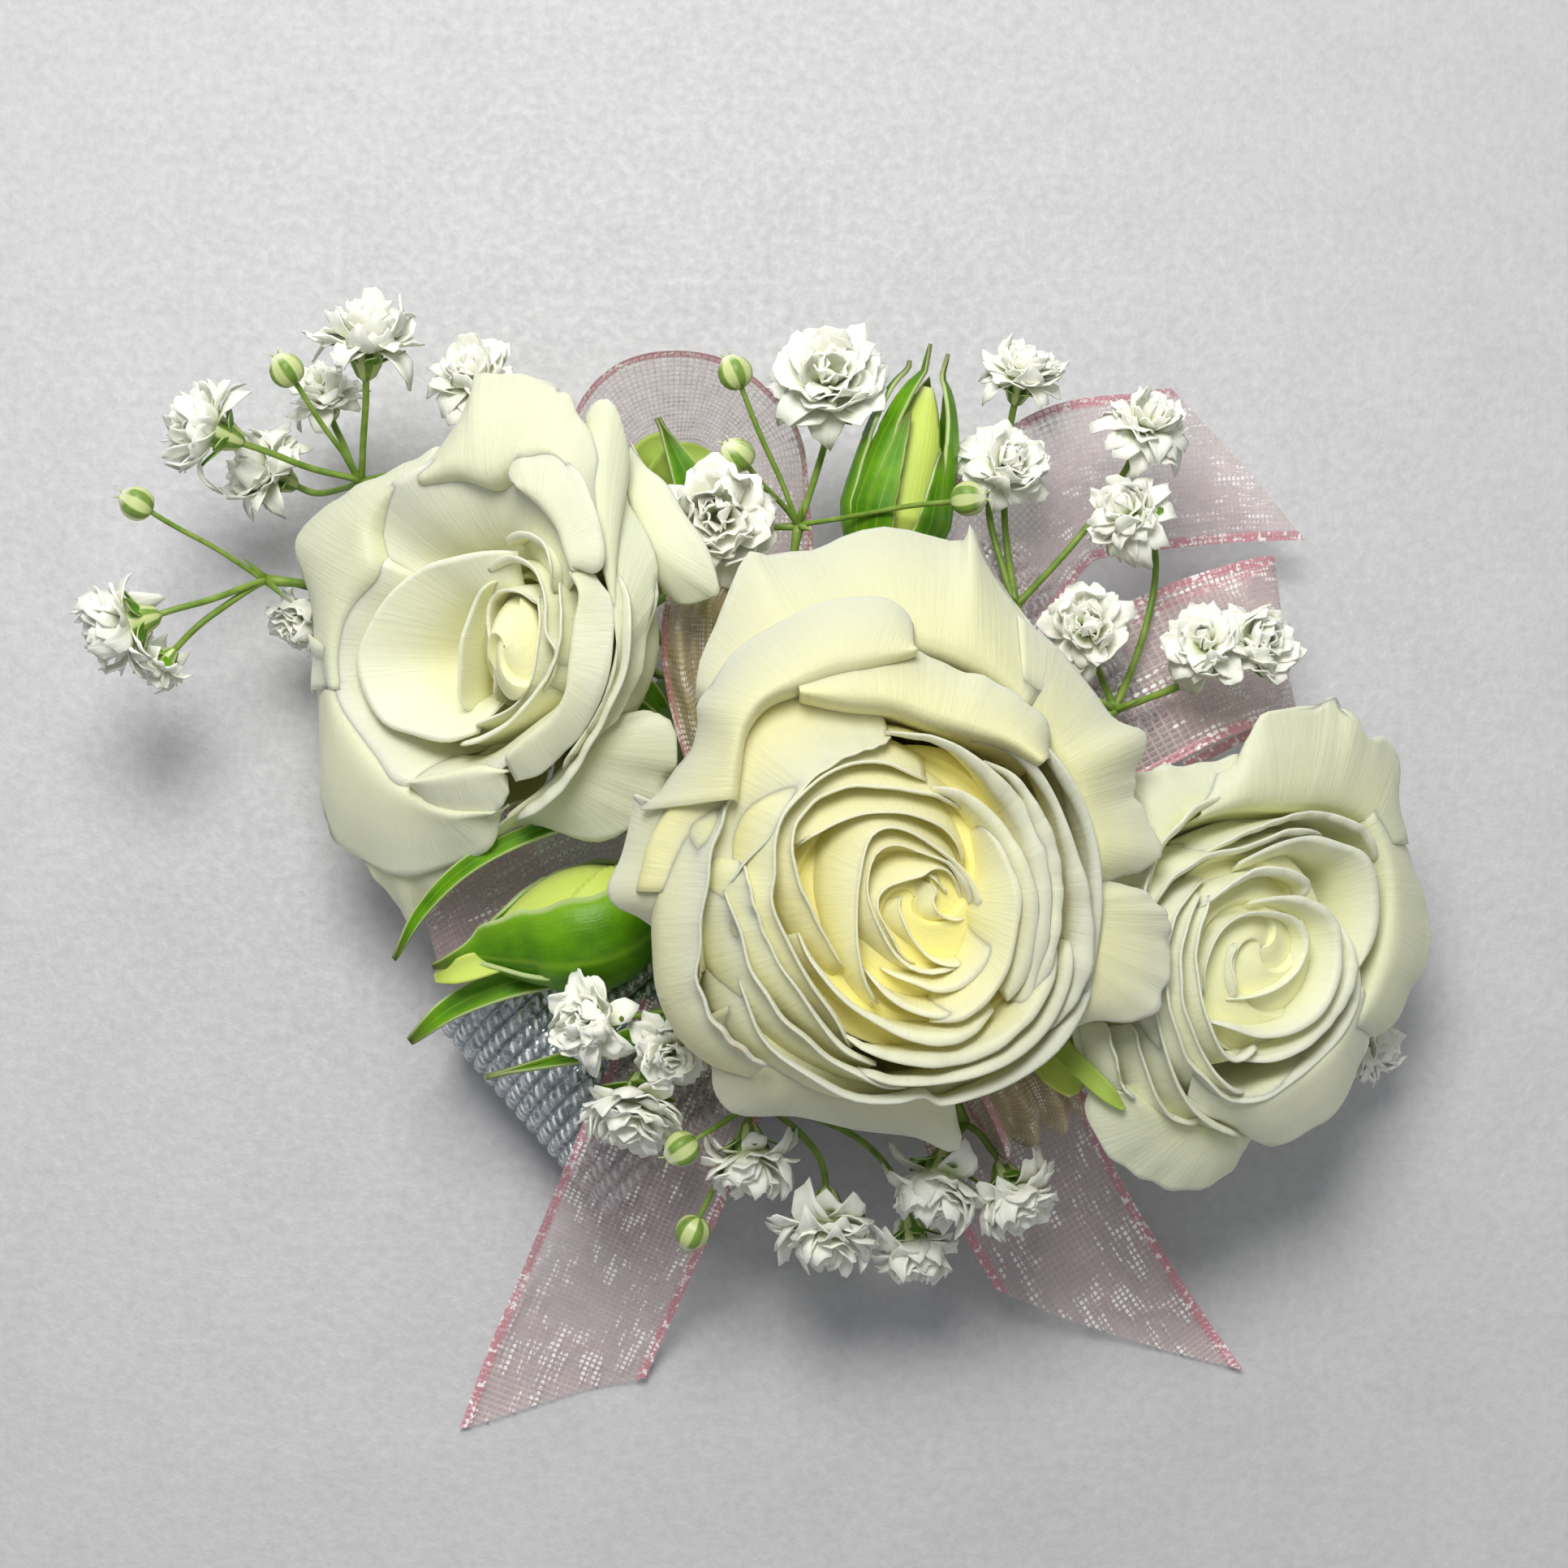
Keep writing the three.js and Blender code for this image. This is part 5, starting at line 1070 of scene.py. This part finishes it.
# root: the stem to the fork; heads: middle, the way it faces and size of each floret; buds: places
sprays = {
    "spray_left_low": {
        "root": [(-13, 16.5, 20.6), (-26, 24, 16.2), (-40, 26.5, 15.6), (-53, 27.3, 18)],
        "heads": [((-65.8, 21.4, 24), (-0.92, -0.3, 0.1), 1.05),
                  ((-62.6, 18.4, 20), (-0.6, -0.6, -0.3), 0.6),
                  ((-50.4, 24.4, 13.4), (-0.5, -0.6, 0.3), 0.75)],
        "buds": [(-64.7, 33.4, 24)]},
    "spray_left_high": {
        "root": [(-12, 17.5, 20.8), (-22, 31, 17), (-33, 35, 16.6), (-44, 37.3, 18)],
        "heads": [((-42.7, 49.2, 26), (0.05, 0.86, 0.45), 1.08),
                  ((-58.2, 41, 24), (-0.85, 0.3, 0.35), 1.05), ((-53.6, 39, 15.4), (-0.5, 0.2, 0.4), 0.95),
                  ((-48, 46.4, 16.6), (-0.2, 0.6, 0.7), 0.8), ((-33, 47.6, 18), (-0.1, 0.6, 0.8), 0.95)],
        "buds": [(-50.5, 46.4, 25)]},
    "spray_back_left": {
        "root": [(-3, 8, 22.6), (-3, 19, 22.6), (-1, 31, 25)],
        "heads": [((2, 44.4, 27), (0, 0.35, 0.9), 1.25), ((-8.5, 29.6, 33), (-0.05, -0.1, 1), 1.16)],
        "buds": [(-7.1, 44.6, 30), (-6.8, 35.7, 33), (14.8, 31.5, 33)]},
    "spray_back_right": {
        "root": [(6, 1.5, 21.8), (14, 12, 20.4), (20, 24, 21)],
        "heads": [((20.7, 46.2, 24), (0.2, 0.75, 0.6), 0.85), ((19, 36.6, 26), (0.3, 0.2, 0.93), 0.9),
                  ((32.4, 40.4, 26), (0.3, 0.6, 0.75), 0.92)],
        "buds": []},
    "spray_right": {
        "root": [(15, -3.5, 21.8), (22, 5, 24), (29, 13, 24.6)],
        "heads": [((30.6, 31.5, 27), (-0.5, 0.25, 0.8), 0.88), ((26.4, 20.4, 27), (-0.1, 0, 1), 0.9),
                  ((37.6, 18.6, 27.4), (-0.2, 0.2, 0.93), 0.9), ((42.4, 18.8, 27), (0.5, 0.2, 0.8), 0.85)],
        "buds": []},
    "spray_right_low": {
        "root": [(24, -10.5, 20.4), (34, -16, 12), (46, -17.5, 7)],
        "heads": [((55, -17.4, 8.5), (0.95, -0.1, 0.3), 0.8)],
        "buds": []},
    "spray_front_left": {
        "root": [(1.5, 0, 22.4), (-3.4, -7.6, 22.4), (-12.5, -15.6, 24)],
        "heads": [((-20.2, -17.2, 28.6), (-0.6, -0.2, 0.8), 0.9),
                  ((-12.8, -19.6, 27.2), (0, -0.5, 0.87), 0.78),
                  ((-16.4, -24.8, 23.6), (-0.15, -0.85, 0.4), 1.08)],
        "buds": []},
    "spray_front": {
        "root": [(3.5, -5.5, 20.8), (-1, -16, 20.4), (-5, -24, 23.5)],
        "heads": [((-5.4, -29.4, 23.4), (0.1, -0.95, 0.05), 0.95),
                  ((1.6, -35.6, 20), (0, -0.95, 0.1), 1.05), ((10, -37.4, 15.6), (0.15, -0.95, 0.1), 0.9)],
        "buds": [(-11.8, -28.6, 25.6), (-11, -36, 20)]},
    "spray_front_right": {
        "root": [(10.5, -7, 21.8), (12, -18, 21.6), (14.5, -26, 23)],
        "heads": [((12, -31.6, 23), (-0.25, -0.9, 0.15), 1.05),
                  ((19, -32.6, 22), (0.35, -0.9, 0.15), 0.95)],
        "buds": []},
}


def floretPetals(size):
    # layers of narrow petals round a cup: the outer lie flat, the inner stand up. Along a petal
    # r = 0.45 + run sin(angle) and z = 2.5 + run cos(angle), the angle opening as the petal runs;
    # its tip is cut in teeth, and it ruffles more towards the tip
    s = np.linspace(-1, 1, 7)[None, None, :]
    t = np.linspace(0, 1, 5)[None, :, None]
    made = []
    for layer, (count, slope, length, half) in enumerate(floret["layers"]):
        a, b, c, d, e, f, g, h = chance.random((8, count, 1, 1))
        turn = tau * (np.arange(count)[:, None, None] + 0.5 * (layer % 2) + 0.5 * a - 0.25) / count
        lean = np.radians(slope + 26 * b - 13)
        tooth = 1 - 0.14 * np.abs(np.sin(math.pi * (0.9 * s + c))) * (0.5 + 0.5 * d) - 0.24 * s * s
        run = t * tooth * length * (0.8 + 0.26 * e)
        angle = lean - 0.08 * run + (0.07 * f - 0.025) * run * run
        wide = s * half * (0.28 + 0.72 * np.sin(1.9 * t)) * (0.8 + 0.4 * g)
        ruffle = t**1.5 * (0.26 * np.sin(3.4 * s + tau * h) + 0.06 * np.sin(8 * s + tau * d))
        r = 0.45 + run * np.sin(angle) + ruffle * np.cos(angle)
        z = 2.5 + 0.3 * layer + run * np.cos(angle) - ruffle * np.sin(angle) + 0.12 * wide * wide
        made.append(around(r, turn, z, wide))
    return np.concatenate(made) * size


def floretSepals(size):
    # little leaves under the petals: out by 0.9 + 2.6t, half width 0.85 sin(pi(0.15 + 0.8t))
    s = np.linspace(-1, 1, 5)[None, None, :]
    t = np.linspace(0, 1, 6)[None, :, None]
    count = floret["leaflets"]
    turn = (tau * (np.arange(count) + 0.2 * chance.random()) / count)[:, None, None]
    wide = s * 0.85 * np.sin(math.pi * (0.15 + 0.8 * t))
    return around(0.9 + 2.6 * t, turn, 1.1 + 1.25 * np.sin(1.3 * t) - 0.14 * np.abs(s), wide) * size


def floretCup(size):
    # calyx: a bell of rings with a slight rib wave, 7% of the radius, and five small teeth
    rings = np.array(floret["cupRings"])
    angle = fullTurn(20)
    z = np.repeat(rings[:, 1:], 20, 1)
    z[-1] += 0.5 * np.maximum(0, np.cos(5 * angle))
    return around(rings[:, :1] * (1 + 0.07 * np.cos(10 * angle)), angle, z) * size


def floretBud(at, ahead):
    # closed bud: a ball, radius bud.sin(pi t)^0.85, with lengthwise ribs and two stubby tips
    t = np.linspace(0.02, 0.98, 14)[:, None]
    angle = fullTurn(20)[None, :]
    r = spraySize["bud"] * np.sin(math.pi * t) ** 0.85 * (1 + 0.06 * np.cos(5 * angle))
    ball = around(r, angle, -1.6 * np.cos(math.pi * t) + 0.2 * (t > 0.9))
    stand = standing(at, ahead)
    tips = [tubeGrid(placed(np.array([[x, 0, 1.2], [x * 1.8, 0.1, 1.9], [x * 3.2, 0.2, 2.3]]), stand),
                     spraySize["tips"], 6) for x in (0.18, -0.18)]
    return [placed(ball, stand), *tips]


def stalkTube(fork, lean, end, thick):
    # a bent stalk, (1 - w)^2 fork + 2w(1 - w) lean + w^2 end, a little wavy and thicker at its fork
    w = np.linspace(0, 1, 18)[:, None]
    path = (1 - w) ** 2 * fork + 2 * w * (1 - w) * lean + w * w * end
    path = path + 0.12 * np.sin(9 * w + end[0]) * np.array([0.4, 0.5, 0.6])
    return tubeGrid(path, thick * (1 + 0.25 * np.exp(-((w.ravel()) / 0.06) ** 2)), 8)


def buildSpray(name, spray):
    # one stem to the fork, swelling there, and from it a stalk to every floret and closed bud
    fork = np.array(spray["root"][-1], float)
    share = np.linspace(0, 1, 30)
    swell = spraySize["root"] + 0.16 * np.exp(-((share - 1) / 0.05) ** 2)
    stalks = [tubeGrid(throughPoints(spray["root"], share), swell, 10)]
    petals, leaflets, green = [], [], []
    for at, face, size in spray["heads"]:
        face = unit(np.array(face, float))
        foot = np.array(at, float) - 0.5 * floret["height"] * size * face
        lean = foot - face * np.linalg.norm(foot - fork) * 0.45
        stalks.append(stalkTube(fork, lean, foot, spraySize["headStalk"]))
        stand = standing(foot, face)
        petals.append(placed(floretPetals(size), stand))
        leaflets.append(placed(floretSepals(size), stand))
        green.append(placed(floretCup(size), stand))
    for at in spray["buds"]:
        at = np.array(at, float)
        lean = (at + fork) / 2 + [0, 0, 1]
        stalks.append(stalkTube(fork, lean, at, spraySize["budStalk"]))
        green += floretBud(at, at - lean)
    # small bracts at the fork
    for k in range(2):
        way = np.array([math.cos(k * 2.4 + fork[0]), math.sin(k * 2.4 + fork[1]), 0.7])
        tip = fork + spraySize["bractReach"] * way
        stalks.append(tubeGrid([fork, (fork + tip) / 2, tip], spraySize["bracts"], 6))
    slot = "gypsophila_white"
    points, faces, _ = closedTubes(stalks)
    addPiece(f"{name}_stalks", points, faces, stalkGreen, slot, name)
    heads = np.concatenate(petals)
    gridPiece(f"{name}_florets", heads, floretWhite, slot, uv=gridUv(*heads.shape[:3]),
              thick=floret["petalThick"])
    points, faces, uv = closedTubes(green)
    addPiece(f"{name}_cups", points, faces, budGreen, slot, uv=uv)
    bracts = np.concatenate(leaflets)
    gridPiece(f"{name}_bracts", bracts, sepalGreen, slot, uv=gridUv(*bracts.shape[:3]),
              thick=floret["bractThick"])


for name, spray in sprays.items():
    buildSpray(name, spray)
print("stage: gypsophila made")


# ribbon

# points of the middle line, vectors across it there, width, how far each edge stops short of the
# end (not at all where it isn't given), how the ribbon is held and how far it waves
ribbons = {
    "tail_front_left": {
        "points": [(-9, -17, 17.9), (-12, -23, 17.8), (-15, -30, 17.6), (-17.8, -35.6, 11), (-21, -42, 4),
                   (-24.2, -49, 1), (-27.2, -57.2, 0.8)],
        "across": [(1, -0.25, 0), (1, -0.35, 0), (1, -0.4, 0), (1, -0.4, 0.02), (1, -0.4, 0.02),
                   (1, -0.4, 0), (1, -0.4, 0)],
        "width": 15.4, "short": (0, 11.3), "held": "draped", "wave": 0.35},
    "tail_front_right": {
        "points": [(8.8, -13, 19.6), (12.8, -17, 19.4), (17, -21.4, 17.8), (19.6, -27.8, 15.2),
                   (23.4, -34.5, 10), (28.4, -41.8, 4), (32.6, -47.8, 1.2), (36.4, -53.3, 0.9)],
        "across": [(1, 0.35, 0), (1, 0.4, 0), (1, 0.45, 0), (1, 0.5, 0), (1, 0.58, 0), (1, 0.64, 0),
                   (1, 0.66, 0), (1, 0.68, 0)],
        "width": 16, "short": (21, 0), "held": "draped", "wave": 0.35},
    "tail_back_right": {
        "points": [(13.6, 19.6, 18), (18.4, 29.8, 18), (25, 37, 16), (33, 39.6, 12.6), (42, 41.4, 9.6),
                   (50.2, 42, 8.4)],
        "across": [(-0.8, 0.6, 0.05), (-0.5, 0.85, 0.15), (-0.15, 0.95, 0.25), (0.05, 0.95, 0.3),
                   (0.2, 0.95, 0.2), (0.25, 0.95, 0.15)],
        "width": 16, "short": (0, 15), "held": "draped", "wave": 0.5},
    "loop_right": {
        "points": [(18, 9, 18.4), (27, 13.5, 19.4), (37, 18.6, 20), (43.6, 21, 18.8), (46.6, 22, 16.4),
                   (44.6, 21.4, 14), (39, 19, 14.4), (33, 15.6, 17.4)],
        "across": [(-0.35, 0.94, 0), (-0.3, 0.95, 0), (-0.2, 0.98, 0), (-0.1, 1, 0), (-0.08, 1, 0),
                   (-0.1, 1, 0), (-0.2, 0.98, 0), (-0.3, 0.95, 0)],
        "width": 16, "held": "folded", "wave": 0.15},
    "loop_back": {
        "points": [(-8, 19, 17.6), (-16, 30, 17.4), (-20.6, 39, 17), (-17, 44.4, 17.4), (-10, 45.4, 16.6),
                   (-5, 41, 15.4), (-5.2, 34, 14), (-6.6, 26, 14)],
        "across": [(0.9, 0.35, 0.2), (0.8, -0.3, 0.6), (-0.35, 0.2, 0.9), (-0.3, 0.5, 0.85),
                   (0.1, 0.5, 0.85), (0.5, 0.3, 0.8), (0.8, 0, 0.5), (1, 0, 0.1)],
        "width": 13, "held": "folded", "wave": 0.2},
    "loop_left": {
        "points": [(-12.5, 3, 19.7), (-20, 2.2, 18.8), (-28, -0.8, 16.8), (-35.4, -4, 14.6),
                   (-37.6, -5, 12), (-34, -4, 9.6), (-26, 0, 10)],
        "across": [(0.2, -1, 0), (0.25, -1, 0), (0.28, -1, 0), (0.3, -1, 0), (0.3, -1, 0), (0.3, -1, 0),
                   (0.3, -1, 0)],
        "width": 12, "held": "folded", "wave": 0.2},
    "loop_mid": {
        "points": [(-7.4, 7.6, 25.2), (-9, 12.5, 28.4), (-9.8, 17.5, 31), (-9.4, 22, 31.4),
                   (-8, 24.6, 28.8), (-7.2, 24, 25.4)],
        "across": [(1, 0.2, -0.1), (1, 0.1, -0.12), (1, 0, -0.12), (1, 0, -0.1), (1, 0, 0), (1, 0, 0.1)],
        "width": 8, "held": "gathered", "wave": 0.15, "look": champagne},
    "loop_front": {
        "points": [(15.6, -14.6, 24.6), (18, -19, 26.4), (20.6, -23.6, 27), (22, -26.8, 24.4),
                   (21, -26.4, 21.6), (18.6, -21.5, 19.8)],
        "across": [(0.9, 0.45, 0), (0.9, 0.45, 0), (0.9, 0.4, 0), (0.9, 0.4, 0), (0.9, 0.4, 0),
                   (0.9, 0.45, 0)],
        "width": 9, "held": "gathered", "wave": 0.15, "look": champagne},
}
# a gathered ribbon's waves across its width, and how high they are
pleat = {"count": 3, "depth": 0.95}


def buildRibbon(name, ribbon, rows=150, cols=41):
    # middle line M(t) plus s.width/2 along the across vector made square to it, plus a wave
    # along the normal; an edge stops short(s) before the end. Gathered ribbon has small pleats.
    s = np.linspace(-1, 1, cols)[None, :]
    t = np.linspace(0, 1, rows)[:, None]
    line, width = ribbon["points"], ribbon["width"]
    length = np.linalg.norm(np.diff(throughPoints(line, np.linspace(0, 1, 400)), axis=0), axis=1).sum()
    first, second = ribbon.get("short", (0, 0))
    share = t * (1 - (first * (1 - s) + second * (1 + s)) / 2 / length)
    step = 1e-3
    after = throughPoints(line, np.minimum(share + step, 1))
    ahead = unit(after - throughPoints(line, np.maximum(share - step, 0)))
    side = throughPoints(ribbon["across"], share)
    side = unit(side - (side * ahead).sum(-1, keepdims=True) * ahead)
    wave = ribbon["wave"] * (np.sin(5.3 * share + 1.4 * s + len(name)) * (0.4 + 0.6 * np.abs(s))
                             + 0.5 * np.sin(11 * share - 2.2 * s))
    flatWidth = width
    if ribbon["held"] == "gathered":
        turn = pleat["count"] * math.pi
        wave = wave + pleat["depth"] * np.sin(turn * s + 2 * share)
        slope = pleat["depth"] * turn * np.cos(turn * s) / (width / 2)
        flatWidth = float(width * np.mean(np.sqrt(1 + slope**2)))
    grid = throughPoints(line, share) + side * (s[..., None] * width / 2)
    grid = grid + np.cross(side, ahead) * wave[..., None]
    piece = gridPiece(f"{name}_organza", grid, ribbon.get("look", organza), "organza_pink", node=name,
                      uv=gridUv(1, rows, cols),
                      values={"acrossMm": (s + 0 * t) * flatWidth / 2, "alongMm": share * length})


for name, ribbon in ribbons.items():
    buildRibbon(name, ribbon)
print("stage: ribbon made")


# band, pad and bundle

# twist: length of cord for one turn of its strands; groove: how deep the strands part
band = {"length": 75, "width": 25, "height": 17, "wall": 2.2, "turn": 42, "cords": 16, "depth": 0.5,
        "twist": 1.15, "groove": 0.22, "steps": 980, "perCord": 6}
pad = {"length": 40, "width": 24, "thickness": 1.5, "turn": -28, "centre": (3, 1), "low": 17.3,
       "rounding": 0.04}
bundle = {"radius": 2.55, "height": 21.7, "path": [(-15.5, 15), (-6, 7), (5, -1.5), (15, -5.6), (26, -7.6)],
          "windings": 9, "lap": 0.1, "steps": 150, "sides": 30}


def spun(degrees):
    # rows to multiply by for a turn about +Z
    a = math.radians(degrees)
    return np.array([[math.cos(a), math.sin(a), 0], [-math.sin(a), math.cos(a), 0], [0, 0, 1]])


def buildBand():
    # a cord section carried round a flattened loop. Across each cord q runs -1..1: the surface
    # dips by depth.(1 - sqrt(1 - q^2)) and by slanted grooves of the twist
    middle, cords, steps = band["height"] / 2, band["cords"], band["steps"]
    straight = band["length"] - 2 * middle
    bend = math.pi * middle
    perimeter = 2 * (straight + bend)
    # four stretches: lower run, right bend, upper run, left bend
    run = np.linspace(0, perimeter, steps, endpoint=False)[:, None]
    bent = np.clip((run - straight) / bend, 0, 1) + np.clip((run - 2 * straight - bend) / bend, 0, 1)
    angle = math.pi * (bent - 0.5)
    x = np.minimum(run, straight) - straight / 2 - np.clip(run - straight - bend, 0, straight)
    across = np.linspace(-1, 1, cords * band["perCord"] + 1)
    place = (across + 1) / 2 * cords
    q = place % 1.0 * 2 - 1
    row = np.floor(np.minimum(place, cords - 1e-6))
    swell = np.sqrt(np.maximum(0, 1 - q * q))
    phase = tau * (round(perimeter / band["twist"]) * run / perimeter + 0.4 * q + 0.37 * row)
    depth = band["depth"] * (1 - swell) + band["groove"] * (0.5 - 0.5 * np.cos(phase)) ** 2 * swell

    def shell(out, y):
        return np.stack(np.broadcast_arrays(x + np.cos(angle) * out, y, middle + np.sin(angle) * out), -1)

    # the outer face, and an inner wall that joins its two edges
    inner = shell(middle - band["wall"], np.array([1, -1]) * band["width"] / 2)
    loop = np.concatenate([shell(middle - depth, across * band["width"] / 2), inner], 1)
    wall = np.ones((steps, 2))
    # valley carries the painted shade: groove depth on the cords, a fixed 0.4 on the inner wall
    valley = np.concatenate([np.clip(depth / (band["depth"] + 0.1), 0, 1), 0.4 * wall], 1)
    crest = np.concatenate([(0.5 + 0.5 * np.cos(phase)) * swell**1.5, 0 * wall], 1)
    # both ways round are closed, so the first ring is joined to the last
    rows, cols = loop.shape[:2]
    r, c = np.meshgrid(np.arange(rows), np.arange(cols), indexing="ij")
    down, right = (r + 1) % rows * cols, (c + 1) % cols
    faces = np.stack([r * cols + c, r * cols + right, down + right, down + c], -1).reshape(-1, 4)
    addPiece("wristband_cords", loop @ spun(band["turn"]), faces, silver, "silver_band", "wristband",
             values={"valley": valley, "crest": crest})


def buildPad():
    # an oval disc with a softly rounded edge: half axes shrink as the edge curls over
    share = np.linspace(0, 1, 13)
    scale = 1 - pad["rounding"] * (1 - np.sqrt(np.maximum(0, 1 - (2 * share - 1) ** 2)))
    edge = scale[0]
    rows = np.array([edge * 0.02, edge * 0.6, *scale, edge * 0.6, edge * 0.02])[:, None] / 2
    z = np.array([0, 0, *share, 1, 1])[:, None] * pad["thickness"] + pad["low"]
    grid = around(rows, fullTurn(96), z) * (pad["length"], pad["width"], 1)
    gridPiece("base_pad_felt", grid @ spun(pad["turn"]) + [*pad["centre"], 0], felt, "pad_felt", wrap=True,
              node="base_pad")


def buildBundle():
    # a thick taped tube, narrower at its ends; the tape's edge winds round it as a low step
    share, sides = np.linspace(0, 1, bundle["steps"]), bundle["sides"]
    path = throughPoints([(x, y, bundle["height"]) for x, y in bundle["path"]], share)
    grid = tubeGrid(path, bundle["radius"] * np.minimum(1, 0.78 + 8 * np.minimum(share, 1 - share)), sides)
    lap = bundle["lap"] * ((np.arange(sides) / sides + share[:, None] * bundle["windings"]) % 1.0)
    centre = path[:, None]
    points, faces, uv = closedTubes([centre + (grid - centre) * (0.97 + lap)[..., None]])
    addPiece("stem_bundle_taped", points, faces, tape, "stem_tape", "stem_bundle", uv=uv)


buildBand()
buildPad()
buildBundle()
print("stage: band, pad and stems made")


# floor, light and camera

room = {"floorHalf": 3000, "sky": (0.93, 0.96, 1.0), "skyStrength": 0.3}
# place, target, power in watts, size and tint of each round area light
lamps = {
    "overheadLight": ((-40, 150, 415), (0, 0, 15), 1.42, 190, (1, 0.99, 0.965)),
    "windowLight": ((-80, 330, 210), (0, 0, 15), 0.38, 300, (1, 0.995, 0.98)),
    "frontFill": ((200, -360, 420), (0, 0, 20), 0.11, 500, (0.95, 0.97, 1)),
}


def addObject(name, data, place=None, target=None):
    # links an object; with a place (mm) it looks along its own -Z at the target
    thing = bpy.data.objects.new(name, data)
    bpy.context.scene.collection.objects.link(thing)
    if place is not None:
        back = unit(np.array(place, float) - np.array(target, float))
        right = unit(np.cross([0, 0, 1], back))
        top = np.cross(back, right)
        rows = [[right[i], top[i], back[i], place[i] * mm] for i in range(3)]
        thing.matrix_world = Matrix(rows + [[0, 0, 0, 1]])
    return thing


def buildFloor():
    # one square of card at z = 0
    half = room["floorHalf"] * mm
    mesh = bpy.data.meshes.new("floor")
    corners = [(-half, -half, 0), (half, -half, 0), (half, half, 0), (-half, half, 0)]
    mesh.from_pydata(corners, [], [(0, 1, 2, 3)])
    mesh.materials.append(floorCard)
    addObject("floor", mesh)


def buildLight():
    # an even sky and the round lamps
    bpy.context.scene.view_settings.view_transform = "Standard"
    world = bpy.data.worlds.new("softRoom")
    bpy.context.scene.world = world
    world.use_nodes = True
    sky = world.node_tree.nodes["Background"]
    sky.inputs["Color"].default_value = (*room["sky"], 1)
    sky.inputs["Strength"].default_value = room["skyStrength"]
    for name, (place, target, power, size, tint) in lamps.items():
        data = bpy.data.lights.new(name, "AREA")
        data.energy, data.color, data.shape, data.size = power, tint, "DISK", size * mm
        addObject(name, data, place, target)


def buildCamera():
    # `distance` from the target and `elevation` degrees up; the lens makes a pixel there `pixel` mm
    tilt = math.radians(camera["elevation"])
    place = np.array(camera["target"]) + camera["distance"] * np.array([0, -math.cos(tilt), math.sin(tilt)])
    data = bpy.data.cameras.new("camera")
    data.sensor_width = camera["sensor"]
    data.lens = camera["sensor"] * camera["distance"] / (camera["pixel"] * camera["across"])
    data.clip_start, data.clip_end = 0.01, 20
    bpy.context.scene.camera = addObject("camera", data, place, camera["target"])


buildFloor()
buildLight()
buildCamera()
bpy.context.view_layer.update()
print("stage: floor, light and camera made")
